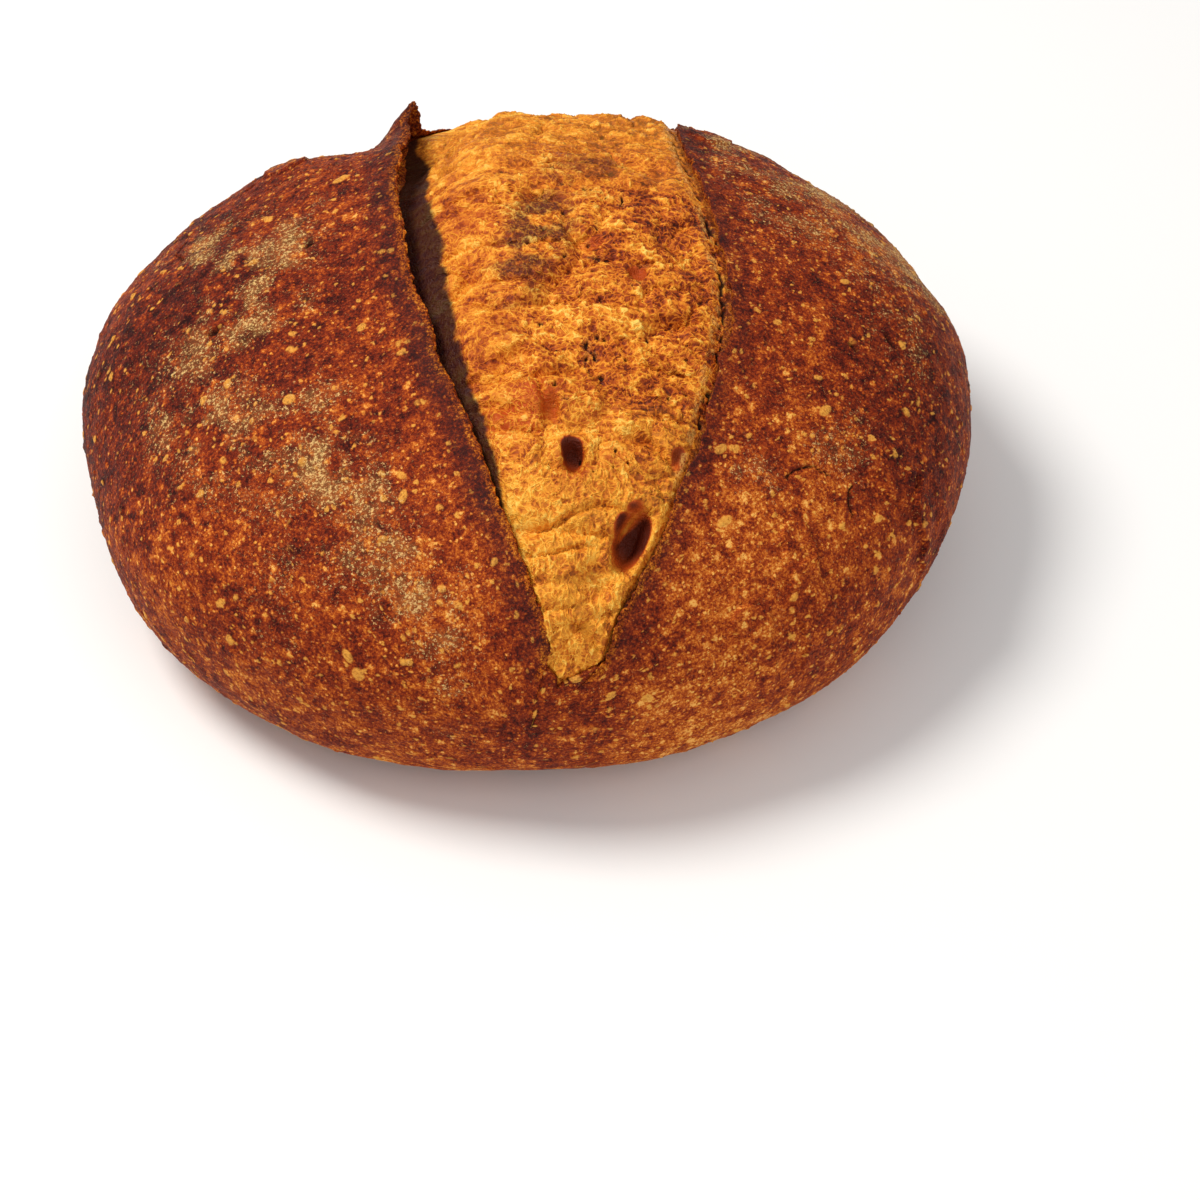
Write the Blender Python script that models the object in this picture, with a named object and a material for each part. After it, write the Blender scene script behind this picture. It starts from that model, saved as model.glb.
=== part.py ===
"""A round loaf of durum wheat bread, slashed once across the top before baking.

The loaf rests on its flat base, centred on the origin, with +Z up. The slash runs from front (-Y)
to back (+Y). It opened in the oven: the torn crumb wells up between a raised lip of crust on the
left, the ear, and a low torn edge on the right. The whole loaf is one skin, built section by
section along Y, like the rings of a barrel that close at a point at each end.
"""

import math

import bmesh
import bpy
import numpy as np

# Driving sizes of the loaf before its swells, in metres.
WIDTH = 0.2575
DEPTH = 0.235
HEIGHT = 0.106
WAIST = 0.041  # height of the widest line
DROP = 0.049  # how far the side would curve below the waist if the oven floor did not cut it flat

# Roundness of the outlines: 2 is an ellipse, more is squarer.
PLAN_POWER = 2.03
DOME_POWER = 2.06
HEEL_POWER = 3.0
HEEL_TURN = 42  # degrees round a section, from straight below to where the base meets the side

# The two edges of the slash. Each pair is a station along the loaf (degrees from the middle, front
# negative) and a bearing across it (degrees from the crown, left negative).
EAR_EDGE = (
    (-90, 14), (-72, 8), (-56, 0.3), (-46, -3.8), (-34, -7.3), (-12, -12.2), (0, -14.2), (20, -16.8),
    (34, -18.8), (46, -22.5), (56, -26.5), (66, -25), (78, -14), (90, -6),
)
FAR_EDGE = (
    (-90, 28), (-72, 31), (-66, 27.5), (-59, 25.6), (-52, 26), (-40, 26.7), (-30, 27), (-18, 27.6),
    (-8, 28.2), (4, 27.7), (14, 27), (26, 27.2), (36, 29), (46, 34), (57, 44), (67, 46), (78, 34), (90, 18),
)
SLASH_FRONT, SLASH_BACK = -79, 76  # stations where the slash closes
CLOSING = 12  # degrees over which the lips die away

# The slash from front to back: pairs of a station in degrees and a size in millimetres.
EAR_LIFT = (
    (-90, 0), (-78, 0.2), (-60, 1.6), (-40, 2.6), (-15, 3.8), (10, 4.6), (30, 4.8), (43, 4.4), (49, 6.6),
    (52, 10.0), (54.5, 11.4), (57, 6.0), (60, 2.2), (66, 1.0), (78, 0.5), (90, 0),
)
EAR_REACH = ((-90, 8), (-30, 10), (15, 11), (34, 8.5), (50, 4.6), (58, 4.6), (70, 8), (90, 8))
GAP_DEPTH = (
    (-90, 0), (-78, 0.3), (-60, 1.4), (-40, 3.0), (-10, 5.0), (15, 6.8), (36, 10.0), (48, 10.0), (53, 6.0),
    (57, 1.2), (62, 0.2), (78, 0.2), (90, 0),
)
BLOOM = (
    (-90, 0), (-78, 0.4), (-60, 1.6), (-30, 3.6), (0, 4.6), (25, 3.6), (45, 1.2), (60, -0.6), (76, 0),
    (90, 0),
)
# Share of the slash's width over which the crumb climbs out of the gap, along the same stations.
CLIMB = ((-90, 0.2), (-40, 0.18), (5, 0.22), (30, 0.36), (46, 0.50), (60, 0.52), (90, 0.3))

EAR_OVERHANG = 0.0030
EAR_UNDERCUT = 0.0045
EAR_RAGGED = 0.0009  # how much the torn edge of the ear wanders
EAR_WAVES = ((9, 1.0, 41), (24, 0.5, 42))  # its waves per radian, their share, seed
EAR_PULL = 0.6  # share of the ear's reach over which it is pulled across the gap
EAR_CURL = 1.4  # over 1, the ear bends up more sharply near its edge
CRUST_THICK = 0.0021
THICKEST_LIP = 0.45  # as a share of the drop from the ear's edge into the gap
# The ear's edge and underside, from the edge down into the gap. In each row, a place along the skin in shares
# of the overhang, the crust's thickness and the undercut, then a height in shares of the lift, the thickness
# and the gap's depth.
LIP_PROFILE = (
    (1, 0, 0, 1, 0, 0),
    (1, 0.25, 0, 1, -0.35, 0),
    (1, 0.1, 0, 1, -0.8, 0),
    (0.4, 0, 0, 1, -1.15, 0),
    (0, 0, -0.8, 0.35, -0.35, -0.3),
    (0, 0, -0.9, 0, 0, -0.75),
    (0, 0, 0, 0, 0, -1),
)

# The swell of the crumb, whose ridge lies left of its middle. Places are shares of the slash's width.
BLOOM_ROUND = 0.8
RIDGE_HEIGHT = 0.0018
RIDGE_PLACE = 0.34
RIDGE_WIDTH = 0.10
RIDGE_START = (-50, -20)  # stations between which the ridge rises
CRUMB_EDGES = (0.04, 0.16, 0.86, 0.97)  # the torn relief grows over the first pair and dies over the second

# The low torn edge on the right.
FAR_LIP = 0.0012
FAR_LIP_REACH = 0.006
FAR_STEP = 0.0011
FAR_STEP_PLACE = (0.93, 0.99)

# Pockets torn open in the crumb: x, y of the middle, half-length, half-width, turn in degrees from X, depth.
POCKET_WALL = (0.35, 1.25)  # shares of the half-length at the foot and at the rim of a pocket's wall
POCKETS = (
    (0.0305, -0.0887, 0.0092, 0.0046, 58, 0.0080),
    (0.0154, -0.0705, 0.0046, 0.0034, 86, 0.0050),
    (0.0098, -0.0579, 0.0050, 0.0028, 80, 0.0034),
    (0.0000, -0.0431, 0.0065, 0.0042, 30, 0.0028),
    (0.0440, -0.0672, 0.0038, 0.0020, 66, 0.0028),
    (0.0199, -0.0985, 0.0060, 0.0042, 8, 0.0022),
    (0.0348, -0.0092, 0.0042, 0.0032, 70, 0.0024),
    (0.0218, 0.0021, 0.0056, 0.0028, 10, 0.0018),
    (0.0240, 0.0500, 0.0110, 0.0035, 12, 0.0022),
)

# Sheets of skin that lifted off the crust: x, y of the middle, radius, height.
FLAKES = (
    (0.0771, -0.0801, 0.0055, 0.0011),
    (0.0794, -0.0887, 0.0062, 0.0011),
    (0.1049, -0.0506, 0.0070, 0.0010),
    (0.0635, -0.1007, 0.0062, 0.0011),
    (0.1170, -0.0520, 0.0085, 0.0017),
    (-0.0770, -0.0140, 0.0062, 0.0010),
    (0.0592, 0.0750, 0.0068, 0.0010),
    (-0.0670, 0.0700, 0.0072, 0.0010),
)
FLAKE_RAGGED = 0.3  # share of a sheet's radius by which its outline wanders
FLAKE_EDGE = (0.75, 1.1)  # shares of the radius between which a sheet's edge falls
FLAKE_SEED = 31
FLAKE_NOTCH = 0.6  # size of the notches in a sheet's outline, as a share of its radius
FLAKE_FADE = (0.030, 0.040)  # heights between which the sheets grow

# Broad rises and dips of the dough: x, y of the middle, radius, height.
SWELLS = (
    (-0.042, 0.092, 0.026, -0.0052),
    (-0.030, 0.060, 0.020, -0.0015),
    (-0.085, -0.045, 0.045, 0.0012),
    (0.020, -0.105, 0.035, 0.0012),
    (0.085, -0.060, 0.050, 0.0015),
    (-0.124, -0.030, 0.036, -0.0048),
    (0.124, 0.006, 0.030, 0.0036),
    (0.104, 0.046, 0.042, 0.0044),
    (0.064, 0.082, 0.028, 0.0020),
    (-0.062, 0.066, 0.020, 0.0032),
)
BASE_FADE = (0.002, 0.020)  # heights between which the swells and lumps grow, so that the base stays flat

# Lumps of the whole dough: size of a lump, height, seed.
LUMPS = ((0.095, 0.0028, 11), (0.040, 0.0012, 12), (0.018, 0.0006, 13))
# Torn strands of the crumb: size across the slash, size along it, height, seed.
STRANDS = ((0.034, 0.013, 0.0026, 21), (0.016, 0.0085, 0.0018, 22))
STRAND_BEND = 0.6  # how far the strands wander, as a share of their size
STRAND_BEND_SIZE = 0.030
CLEFT_SHARPNESS = 3
CLEFT_LEVEL = 0.75  # share of a strand's height that lies below the crumb's smooth surface

# How many strips of faces each stretch of a section has, and how many rings there are.
BASE_STRIPS = 5
SIDE_STRIPS = 24
SIDE_SPREAD = 0.85  # under 1, the strips of the side are finer towards the slash
LIP_STRIPS = 6
CRUMB_STRIPS = 30
RINGS = 60
POLE_BULGE = 0.0004  # how far the point at each end stands past the last ring

CRUST_COLOUR = (0.30, 0.10, 0.035, 1)
CRUST_ROUGHNESS = 0.7


def signed_power(value, power):
    """A power that keeps the sign."""
    return np.sign(value) * np.abs(value) ** power


def ramp(value, low, high):
    """0 below low, 1 above high, and a smooth step between."""
    share = np.clip((value - low) / (high - low), 0, 1)
    return share * share * (3 - 2 * share)


def read_curve(pairs, at):
    """A smooth curve through (position, value) pairs, read at the given positions."""
    place, value = np.array(pairs, float).T
    slope = np.gradient(value, place)
    i = np.clip(np.searchsorted(place, at) - 1, 0, len(place) - 2)
    gap = place[i + 1] - place[i]
    u = np.clip((at - place[i]) / gap, 0, 1)
    rise = ramp(u, 0, 1)
    start, end = u * (1 - u) ** 2, u * u * (u - 1)
    return value[i] * (1 - rise) + value[i + 1] * rise + gap * (slope[i] * start + slope[i + 1] * end)


def lattice(cell, seed):
    """A fixed random number from -1 to 1 for each whole-numbered cell."""
    mixed = (cell * np.array([73856093, 19349663, 83492791])).sum(-1) + seed * 2654435761
    mixed = (mixed ^ (mixed >> 13)) * 1274126177 & 0x7FFFFFFF
    mixed = (mixed ^ (mixed >> 15)) * 668265263 & 0x7FFFFFFF
    return mixed / 0x3FFFFFFF - 1


def noise(place, seed):
    """Smooth random values from -1 to 1 that change over a distance of 1."""
    corner = np.floor(place).astype(np.int64)
    u = place - corner
    u = u * u * u * (u * (u * 6 - 15) + 10)
    total = 0
    for step in np.ndindex(2, 2, 2):
        share = np.prod(np.where(step, u, 1 - u), -1)
        total = total + share * lattice(corner + step, seed)
    return total


def section_size(y):
    """Half-width of the section at depth y, its height over the waist, and its drop below."""
    share = np.clip(np.abs(y) / (DEPTH / 2), 0, 1)
    wide = (1 - share**PLAN_POWER) ** (1 / PLAN_POWER)
    tall = (1 - share**DOME_POWER) ** (1 / DOME_POWER)
    deep = (1 - share**HEEL_POWER) ** (1 / HEEL_POWER)
    return WIDTH / 2 * wide, (HEIGHT - WAIST) * tall, DROP * deep


def plain_skin(station, turn):
    """The domed loaf before slashing. Turn goes from 0 underneath, by the left, to half a turn on top."""
    y = DEPTH / 2 * np.sin(station)
    half, up, down = section_size(y)
    below = np.cos(turn) > 0
    x = -half * signed_power(np.sin(turn), np.where(below, 2 / HEEL_POWER, 1))
    z = WAIST - np.where(below, down, up) * signed_power(np.cos(turn), np.where(below, 2 / HEEL_POWER, 1))
    return np.stack(np.broadcast_arrays(x, y, z), -1)


def outward(point):
    """The unit direction straight out of the plain skin."""
    above = point[..., 2:] > WAIST
    radius = np.where(above, [WIDTH / 2, DEPTH / 2, HEIGHT - WAIST], [WIDTH / 2, DEPTH / 2, DROP])
    away = (point - np.array([0, 0, WAIST])) / radius**2
    return away / np.linalg.norm(away, axis=-1, keepdims=True)


def across(station, turn):
    """The unit direction along the skin, from left to right over the top."""
    step = 1e-3
    way = plain_skin(station, turn + step) - plain_skin(station, turn - step)
    return way / np.linalg.norm(way, axis=-1, keepdims=True)


def lumps(point):
    """How far the dough swells or sinks at a point of the skin. The base stays flat."""
    swell = sum(height * noise(point / size, seed) for size, height, seed in LUMPS)
    for x, y, radius, height in SWELLS:
        away = np.hypot(point[..., 0] - x, point[..., 1] - y) / radius
        swell = swell + height * np.exp(-(away**2))
    return swell * ramp(point[..., 2], *BASE_FADE)


def crust_relief(point):
    """Loose sheets of skin on the crust, with a short steep edge all round."""
    height = 0
    upper = ramp(point[..., 2], *FLAKE_FADE)
    for x, y, radius, lift in FLAKES:
        away = np.hypot(point[..., 0] - x, point[..., 1] - y)
        away = away / radius + FLAKE_RAGGED * noise(point / (FLAKE_NOTCH * radius), FLAKE_SEED)
        height = height + lift * (1 - ramp(away, *FLAKE_EDGE)) * upper
    return height


def strand_relief(point):
    """Torn strands of crumb: rounded ridges with narrow clefts between them, mostly across the slash."""
    height = 0
    for length, width, tall, seed in STRANDS:
        bend = STRAND_BEND * noise(point / STRAND_BEND_SIZE, seed + 5)[..., None]
        cleft = np.abs(noise(point / np.array([length, width, width]) + bend, seed))
        height = height + tall * (np.minimum(CLEFT_SHARPNESS * cleft, 1) - CLEFT_LEVEL)
    return height


def pocket_depth(point):
    """Depth of the torn pockets at a point of the crumb."""
    depth = 0
    for x, y, length, width, turn, deep in POCKETS:
        c, s = math.cos(math.radians(turn)), math.sin(math.radians(turn))
        dx, dy = point[..., 0] - x, point[..., 1] - y
        away = np.hypot((dx * c + dy * s) / length, (dy * c - dx * s) / width)
        depth = depth + deep * (1 - ramp(away, *POCKET_WALL))
    return depth


def slash_open(station):
    """1 along the slash, falling to 0 where it closes at each end."""
    degrees = np.degrees(station)
    front = ramp(degrees, SLASH_FRONT, SLASH_FRONT + CLOSING)
    return front * (1 - ramp(degrees, SLASH_BACK - CLOSING, SLASH_BACK))


def edge_turns(station):
    """Turns of the ear's edge and of the far edge at a station."""
    bearings = (read_curve(edge, np.degrees(station)) for edge in (EAR_EDGE, FAR_EDGE))
    return tuple(math.pi + np.radians(bearing) for bearing in bearings)


def along_slash(curve, station):
    """A size of the slash at a station, in metres."""
    return read_curve(curve, np.degrees(station)) / 1000


def ear_wander(station):
    """How far the ear's torn edge strays at a station."""
    stray = 0
    for waves, share, seed in EAR_WAVES:
        place = np.stack([station * waves, 0 * station, 0 * station], -1)
        stray = stray + share * noise(place, seed)
    return EAR_RAGGED * stray * slash_open(station)


def crust_point(station, turn):
    """A point of the browned crust, with the ear on the left of the slash and a low lip on its right."""
    point = plain_skin(station, turn)
    ear_turn, far_turn = edge_turns(station)
    to_ear = np.linalg.norm(point - plain_skin(station, ear_turn), axis=-1)
    to_far = np.linalg.norm(point - plain_skin(station, far_turn), axis=-1)
    left = turn <= ear_turn + 1e-9
    reach = along_slash(EAR_REACH, station)
    curl = np.where(left, np.exp(-((to_ear / reach) ** EAR_CURL)), 0)
    pull = np.where(left, np.exp(-((to_ear / (EAR_PULL * reach)) ** EAR_CURL)), 0)
    lip = np.where(left, 0, FAR_LIP * np.exp(-to_far / FAR_LIP_REACH)) * slash_open(station)
    height = along_slash(EAR_LIFT, station) * curl + lip + lumps(point) + crust_relief(point)
    shift = (EAR_OVERHANG * slash_open(station) + ear_wander(station)) * pull
    return point + outward(point) * height[..., None] + across(station, turn) * shift[..., None]


def lip_point(station, share):
    """A point of the ear's torn edge and underside, from the lip (share 0) down into the gap (share 1)."""
    ear_turn, _ = edge_turns(station)
    point = plain_skin(station, ear_turn)
    rise = along_slash(EAR_LIFT, station)
    gap = along_slash(GAP_DEPTH, station)
    reach = EAR_OVERHANG * slash_open(station) + ear_wander(station)
    back = EAR_UNDERCUT * slash_open(station)
    thick = np.minimum(CRUST_THICK * slash_open(station), THICKEST_LIP * (rise + gap))
    along, over = 0, lumps(point)
    for i, shares in enumerate(LIP_PROFILE):
        weight = np.maximum(0, 1 - np.abs(share * (len(LIP_PROFILE) - 1) - i))
        along = along + weight * (shares[0] * reach + shares[1] * thick + shares[2] * back)
        over = over + weight * (shares[3] * rise + shares[4] * thick + shares[5] * gap)
    return point + outward(point) * over[..., None] + across(station, ear_turn) * along[..., None]


def crumb_point(station, share):
    """A point of the torn crumb, from the gap under the ear (share 0) to the far edge (share 1)."""
    ear_turn, far_turn = edge_turns(station)
    point = plain_skin(station, ear_turn + share * (far_turn - ear_turn))
    open_here = slash_open(station)
    climb = read_curve(CLIMB, np.degrees(station))
    swell = along_slash(BLOOM, station) * np.sin(math.pi * share**BLOOM_ROUND) ** BLOOM_ROUND
    ridge = RIDGE_HEIGHT * np.exp(-(((share - RIDGE_PLACE) / RIDGE_WIDTH) ** 2))
    height = (swell + ridge * ramp(np.degrees(station), *RIDGE_START)) * open_here
    height = height - along_slash(GAP_DEPTH, station) * (1 - ramp(share, CRUMB_EDGES[0] / 2, climb))
    height = height - FAR_STEP * open_here * ramp(share, *FAR_STEP_PLACE)
    torn = ramp(share, *CRUMB_EDGES[:2]) * (1 - ramp(share, *CRUMB_EDGES[2:])) * open_here
    height = height + (strand_relief(point) - pocket_depth(point)) * torn + lumps(point)
    return point + outward(point) * height[..., None]


def even_stations():
    """Stations spaced evenly along the crown, in radians, leaving out the two ends."""
    fine = np.linspace(-math.pi / 2, math.pi / 2, 2001)
    crown = plain_skin(fine, math.pi + 0 * fine)
    run = np.concatenate([[0], np.cumsum(np.linalg.norm(np.diff(crown, axis=0), axis=1))])
    return np.interp(np.linspace(0, run[-1], RINGS + 2)[1:-1], run, fine)


def skin():
    """The rings of the whole skin, from front to back, as an array of rings by points by 3."""
    station = even_stations()[:, None]
    ear_turn, far_turn = edge_turns(station)
    heel = math.radians(HEEL_TURN)
    base = np.linspace(0, 1, BASE_STRIPS + 1)
    flat = np.arcsin((base * math.sin(heel) ** (2 / HEEL_POWER)) ** (HEEL_POWER / 2)) + 0 * station
    side = np.linspace(0, 1, SIDE_STRIPS + 1) ** SIDE_SPREAD
    left = np.concatenate([flat[:, :-1], heel + side * (ear_turn - heel)], 1)
    right = np.concatenate([heel + side[::-1] * (2 * math.pi - far_turn - heel), flat[:, -2:0:-1]], 1)
    lip = np.linspace(0, 1, LIP_STRIPS + 1)[1:]
    crumb = np.linspace(0, 1, CRUMB_STRIPS + 1)[1:]
    stretches = (
        crust_point(station, left),
        lip_point(station, lip),
        crumb_point(station, crumb),
        crust_point(station, 2 * math.pi - right),
    )
    rings = np.concatenate(stretches, 1)
    rings[..., 2] = np.maximum(rings[..., 2], 0)
    return rings


def build_loaf():
    """The loaf as one closed mesh object, its box centred over the origin."""
    rings = skin()
    ends = np.array([rings[0].mean(0), rings[-1].mean(0)])
    ends[:, 1] += np.array([-1, 1]) * POLE_BULGE
    low, high = rings.min((0, 1)), rings.max((0, 1))
    centre = np.array([(low[0] + high[0]) / 2, (ends[0, 1] + ends[1, 1]) / 2, 0])
    mesh = bmesh.new()
    loops = [[mesh.verts.new(point - centre) for point in ring] for ring in rings]
    front, back = (mesh.verts.new(point - centre) for point in ends)
    count = len(loops[0])
    for near, far in zip(loops, loops[1:]):
        for i in range(count):
            j = (i + 1) % count
            mesh.faces.new((near[i], far[i], far[j], near[j]))
    for i in range(count):
        j = (i + 1) % count
        mesh.faces.new((front, loops[0][i], loops[0][j]))
        mesh.faces.new((back, loops[-1][j], loops[-1][i]))
    bmesh.ops.recalc_face_normals(mesh, faces=mesh.faces)
    bmesh.ops.triangulate(mesh, faces=mesh.faces)
    data = bpy.data.meshes.new("loaf")
    mesh.to_mesh(data)
    mesh.free()
    data.shade_smooth()
    loaf = bpy.data.objects.new("loaf", data)
    bpy.context.scene.collection.objects.link(loaf)
    return loaf


def crust_material():
    """Browned crust: matt, red-brown."""
    material = bpy.data.materials.new("crust")
    material.use_nodes = True
    shader = material.node_tree.nodes["Principled BSDF"]
    shader.inputs["Base Color"].default_value = CRUST_COLOUR
    shader.inputs["Roughness"].default_value = CRUST_ROUGHNESS
    shader.inputs["Metallic"].default_value = 0.0
    return material


for old in list(bpy.data.objects):
    bpy.data.objects.remove(old)
build_loaf().data.materials.append(crust_material())
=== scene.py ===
# %% [markdown]
# # A round loaf of pugliese bread
#
# The loaf arrives as a plain solid that already has its dome, its slash and its raised ear. This
# lesson gives it a blistered crust, torn crumb, flour and colour. Everything is in metres, +Z is
# up, and the slash runs from the front (-Y) to the back (+Y).

# %% Load the plain solid
import math

import bpy
import numpy as np
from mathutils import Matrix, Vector


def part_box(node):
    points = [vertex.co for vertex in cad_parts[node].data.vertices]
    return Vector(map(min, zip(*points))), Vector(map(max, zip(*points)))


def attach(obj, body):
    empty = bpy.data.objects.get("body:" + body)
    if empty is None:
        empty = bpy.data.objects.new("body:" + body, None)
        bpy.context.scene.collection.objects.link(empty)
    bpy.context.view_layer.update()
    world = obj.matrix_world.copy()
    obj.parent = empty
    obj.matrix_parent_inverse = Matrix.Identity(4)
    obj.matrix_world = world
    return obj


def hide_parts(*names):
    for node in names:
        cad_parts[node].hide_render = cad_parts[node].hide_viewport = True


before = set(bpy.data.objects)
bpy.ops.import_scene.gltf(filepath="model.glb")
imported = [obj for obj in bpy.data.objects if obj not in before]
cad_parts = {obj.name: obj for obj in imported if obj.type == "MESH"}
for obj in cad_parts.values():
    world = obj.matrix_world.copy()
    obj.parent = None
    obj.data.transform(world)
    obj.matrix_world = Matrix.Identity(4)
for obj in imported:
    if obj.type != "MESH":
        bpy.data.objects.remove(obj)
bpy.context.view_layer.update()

# %% [markdown]
# ## The form of the loaf, as formulas
#
# The plain solid has facets of about 4 mm, and the blisters of a real crust are smaller than that.
# One could subdivide the solid and push its points about, but then no point would know how far it
# is from the torn edge. So the same formulas that shaped the solid are written here again, and they
# are read at many more points.

# %% Sizes of the loaf
WIDTH, DEPTH, HEIGHT = 0.2575, 0.235, 0.106
WAIST = 0.041  # height of the widest line
DROP = 0.049  # how far the side would curve below the waist if the base were not flat
PLAN_POWER, DOME_POWER, HEEL_POWER = 2.03, 2.06, 3.0
HEEL_TURN = 42  # degrees round a section where the flat base meets the side

# Edges of the slash: pairs of a station along the loaf and a bearing across it, in degrees.
EAR_EDGE = (
    (-90, 14), (-72, 8), (-56, 0.3), (-46, -3.8), (-34, -7.3), (-12, -12.2), (0, -14.2), (20, -16.8),
    (34, -18.8), (46, -22.5), (56, -26.5), (66, -25), (78, -14), (90, -6),
)
FAR_EDGE = (
    (-90, 28), (-72, 31), (-66, 27.5), (-59, 25.6), (-52, 26), (-40, 26.7), (-30, 27), (-18, 27.6),
    (-8, 28.2), (4, 27.7), (14, 27), (26, 27.2), (36, 29), (46, 34), (57, 44), (67, 46), (78, 34), (90, 18),
)
SLASH_FRONT, SLASH_BACK, CLOSING = -79, 76, 12

# Sizes along the slash: pairs of a station in degrees and millimetres.
EAR_LIFT = (
    (-90, 0), (-78, 0.2), (-60, 1.6), (-40, 2.6), (-15, 3.8), (10, 4.6), (30, 4.8), (43, 4.4), (49, 6.6),
    (52, 10.0), (54.5, 11.4), (57, 6.0), (60, 2.2), (66, 1.0), (78, 0.5), (90, 0),
)
EAR_REACH = ((-90, 8), (-30, 10), (15, 11), (34, 8.5), (50, 4.6), (58, 4.6), (70, 8), (90, 8))
GAP_DEPTH = (
    (-90, 0), (-78, 0.3), (-60, 1.4), (-40, 3.0), (-10, 5.0), (15, 6.8), (36, 10.0), (48, 10.0), (53, 6.0),
    (57, 1.2), (62, 0.2), (78, 0.2), (90, 0),
)
BLOOM = (
    (-90, 0), (-78, 0.4), (-60, 1.6), (-30, 3.6), (0, 4.6), (25, 3.6), (45, 1.2), (60, -0.6), (76, 0),
    (90, 0),
)
CLIMB = ((-90, 0.2), (-40, 0.18), (5, 0.22), (30, 0.36), (46, 0.50), (60, 0.52), (90, 0.3))
EAR_OVERHANG, EAR_UNDERCUT, EAR_RAGGED, EAR_CURL = 0.0030, 0.0045, 0.0009, 1.4
TIP_LEAN, TIP_STATION, TIP_SPREAD = 0.0032, 54.5, 2.6  # how far the ear's tip leans over, and where
CRUST_THICK, THICKEST_LIP = 0.0021, 0.45
# The ear's torn edge, from its lip into the gap. Shares of: reach, thickness, undercut, lift, thickness, gap.
LIP_PROFILE = (
    (1, 0, 0, 1, 0, 0),
    (1, 0.25, 0, 1, -0.35, 0),
    (1, 0.1, 0, 1, -0.8, 0),
    (0.4, 0, 0, 1, -1.15, 0),
    (0, 0, -0.8, 0.35, -0.35, -0.3),
    (0, 0, -0.9, 0, 0, -0.75),
    (0, 0, 0, 0, 0, -1),
)
BLOOM_ROUND, RIDGE_HEIGHT, RIDGE_PLACE, RIDGE_WIDTH = 0.8, 0.0018, 0.34, 0.10
RIDGE_START = (-50, -20)
CRUMB_EDGES = (0.04, 0.16, 0.86, 0.97)
FAR_LIP, FAR_LIP_REACH, FAR_STEP, FAR_STEP_PLACE = 0.0012, 0.006, 0.0011, (0.93, 0.99)

# Pockets in the crumb: x, y, half-length, half-width, turn from X in degrees, depth.
POCKET_WALL = (0.35, 1.25)
POCKETS = (
    (0.0305, -0.0887, 0.0092, 0.0046, 58, 0.0080),
    (0.0154, -0.0705, 0.0046, 0.0034, 86, 0.0050),
    (0.0098, -0.0579, 0.0050, 0.0028, 80, 0.0034),
    (0.0000, -0.0431, 0.0065, 0.0042, 30, 0.0028),
    (0.0440, -0.0672, 0.0038, 0.0020, 66, 0.0028),
    (0.0199, -0.0985, 0.0060, 0.0042, 8, 0.0022),
    (0.0348, -0.0092, 0.0042, 0.0032, 70, 0.0024),
    (0.0218, 0.0021, 0.0056, 0.0028, 10, 0.0018),
    (0.0240, 0.0500, 0.0110, 0.0035, 12, 0.0022),
)
# Each pocket gets painted shade inside it, less at its lower end where light reaches; these are the amounts.
POCKET_SHADE_AMOUNTS = (1.0, 0.95, 0.35, 0.1, 0.7, 0.0, 0.5, 0.25, 0.2)  # how dark each pocket is
POCKET_LIT, POCKET_SHADE = 0.25, (-0.9, 0.25)  # light reaches a pocket's lower end
POCKET_RIM = (0.80, 1.02)  # from where to where the dark of a pocket fades
POCKET_CALM, POCKET_CALM_DEPTH = 0.9, 0.004  # a deep pocket has hardly any strands on its floor

# Sheets of skin lifted off the crust: x, y, radius, height.
FLAKE_NOTCHES = (0.3, 0.0038, 31)  # amount, size and seed of the notches in a sheet's outline
FLAKE_RIM, FLAKE_FADE, FLAKE_DISH = (0.865, 0.985), (0.030, 0.040), 0.4
FLAKES = (
    (0.0771, -0.0801, 0.0055, 0.0011),
    (0.0794, -0.0887, 0.0062, 0.0011),
    (0.1049, -0.0506, 0.0070, 0.0010),
    (0.0635, -0.1007, 0.0062, 0.0011),
    (0.1170, -0.0520, 0.0085, 0.0017),
    (-0.0770, -0.0140, 0.0062, 0.0010),
    (0.0592, 0.0750, 0.0068, 0.0010),
    (-0.0670, 0.0700, 0.0072, 0.0010),
)
# Broad rises and dips of the dough: x, y, radius, height.
SWELLS = (
    (-0.042, 0.092, 0.026, -0.0052),
    (-0.030, 0.060, 0.020, -0.0015),
    (-0.085, -0.045, 0.045, 0.0012),
    (0.020, -0.105, 0.035, 0.0012),
    (0.085, -0.060, 0.050, 0.0015),
    (-0.124, -0.030, 0.036, -0.0048),
    (0.124, 0.006, 0.030, 0.0036),
    (0.104, 0.046, 0.042, 0.0044),
    (0.064, 0.082, 0.028, 0.0020),
    (-0.062, 0.066, 0.020, 0.0032),
)
LUMPS = ((0.095, 0.0028, 11), (0.040, 0.0012, 12), (0.018, 0.0006, 13))  # size, height, seed
BASE_FADE = (0.002, 0.020)  # heights between which the flat base passes into the uneven side
STRANDS = ((0.034, 0.013, 0.0026, 21), (0.016, 0.0085, 0.0018, 22))  # length, width, height, seed
STRAND_BEND, STRAND_BEND_SIZE = 0.6, 0.030
CLEFT_SHARPNESS, CLEFT_LEVEL = 3, 0.75

# %% Curves and smooth random values
HASH_AXES = np.array([73856093, 19349663, 83492791])  # large primes that scatter neighbouring cells
HASH_SEED, HASH_MASK = 2654435761, 0x7FFFFFFF
HASH_MIXERS = ((13, 1274126177), (15, 668265263))


def ramp(value, low, high):
    """0 below low, 1 above high, and a smooth step between."""
    share = np.clip((value - low) / (high - low), 0, 1)
    return share * share * (3 - 2 * share)


def window(value, stops):
    """1 between the two middle stops, falling to 0 at the outer ones."""
    return ramp(value, *stops[:2]) * (1 - ramp(value, *stops[2:]))


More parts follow.
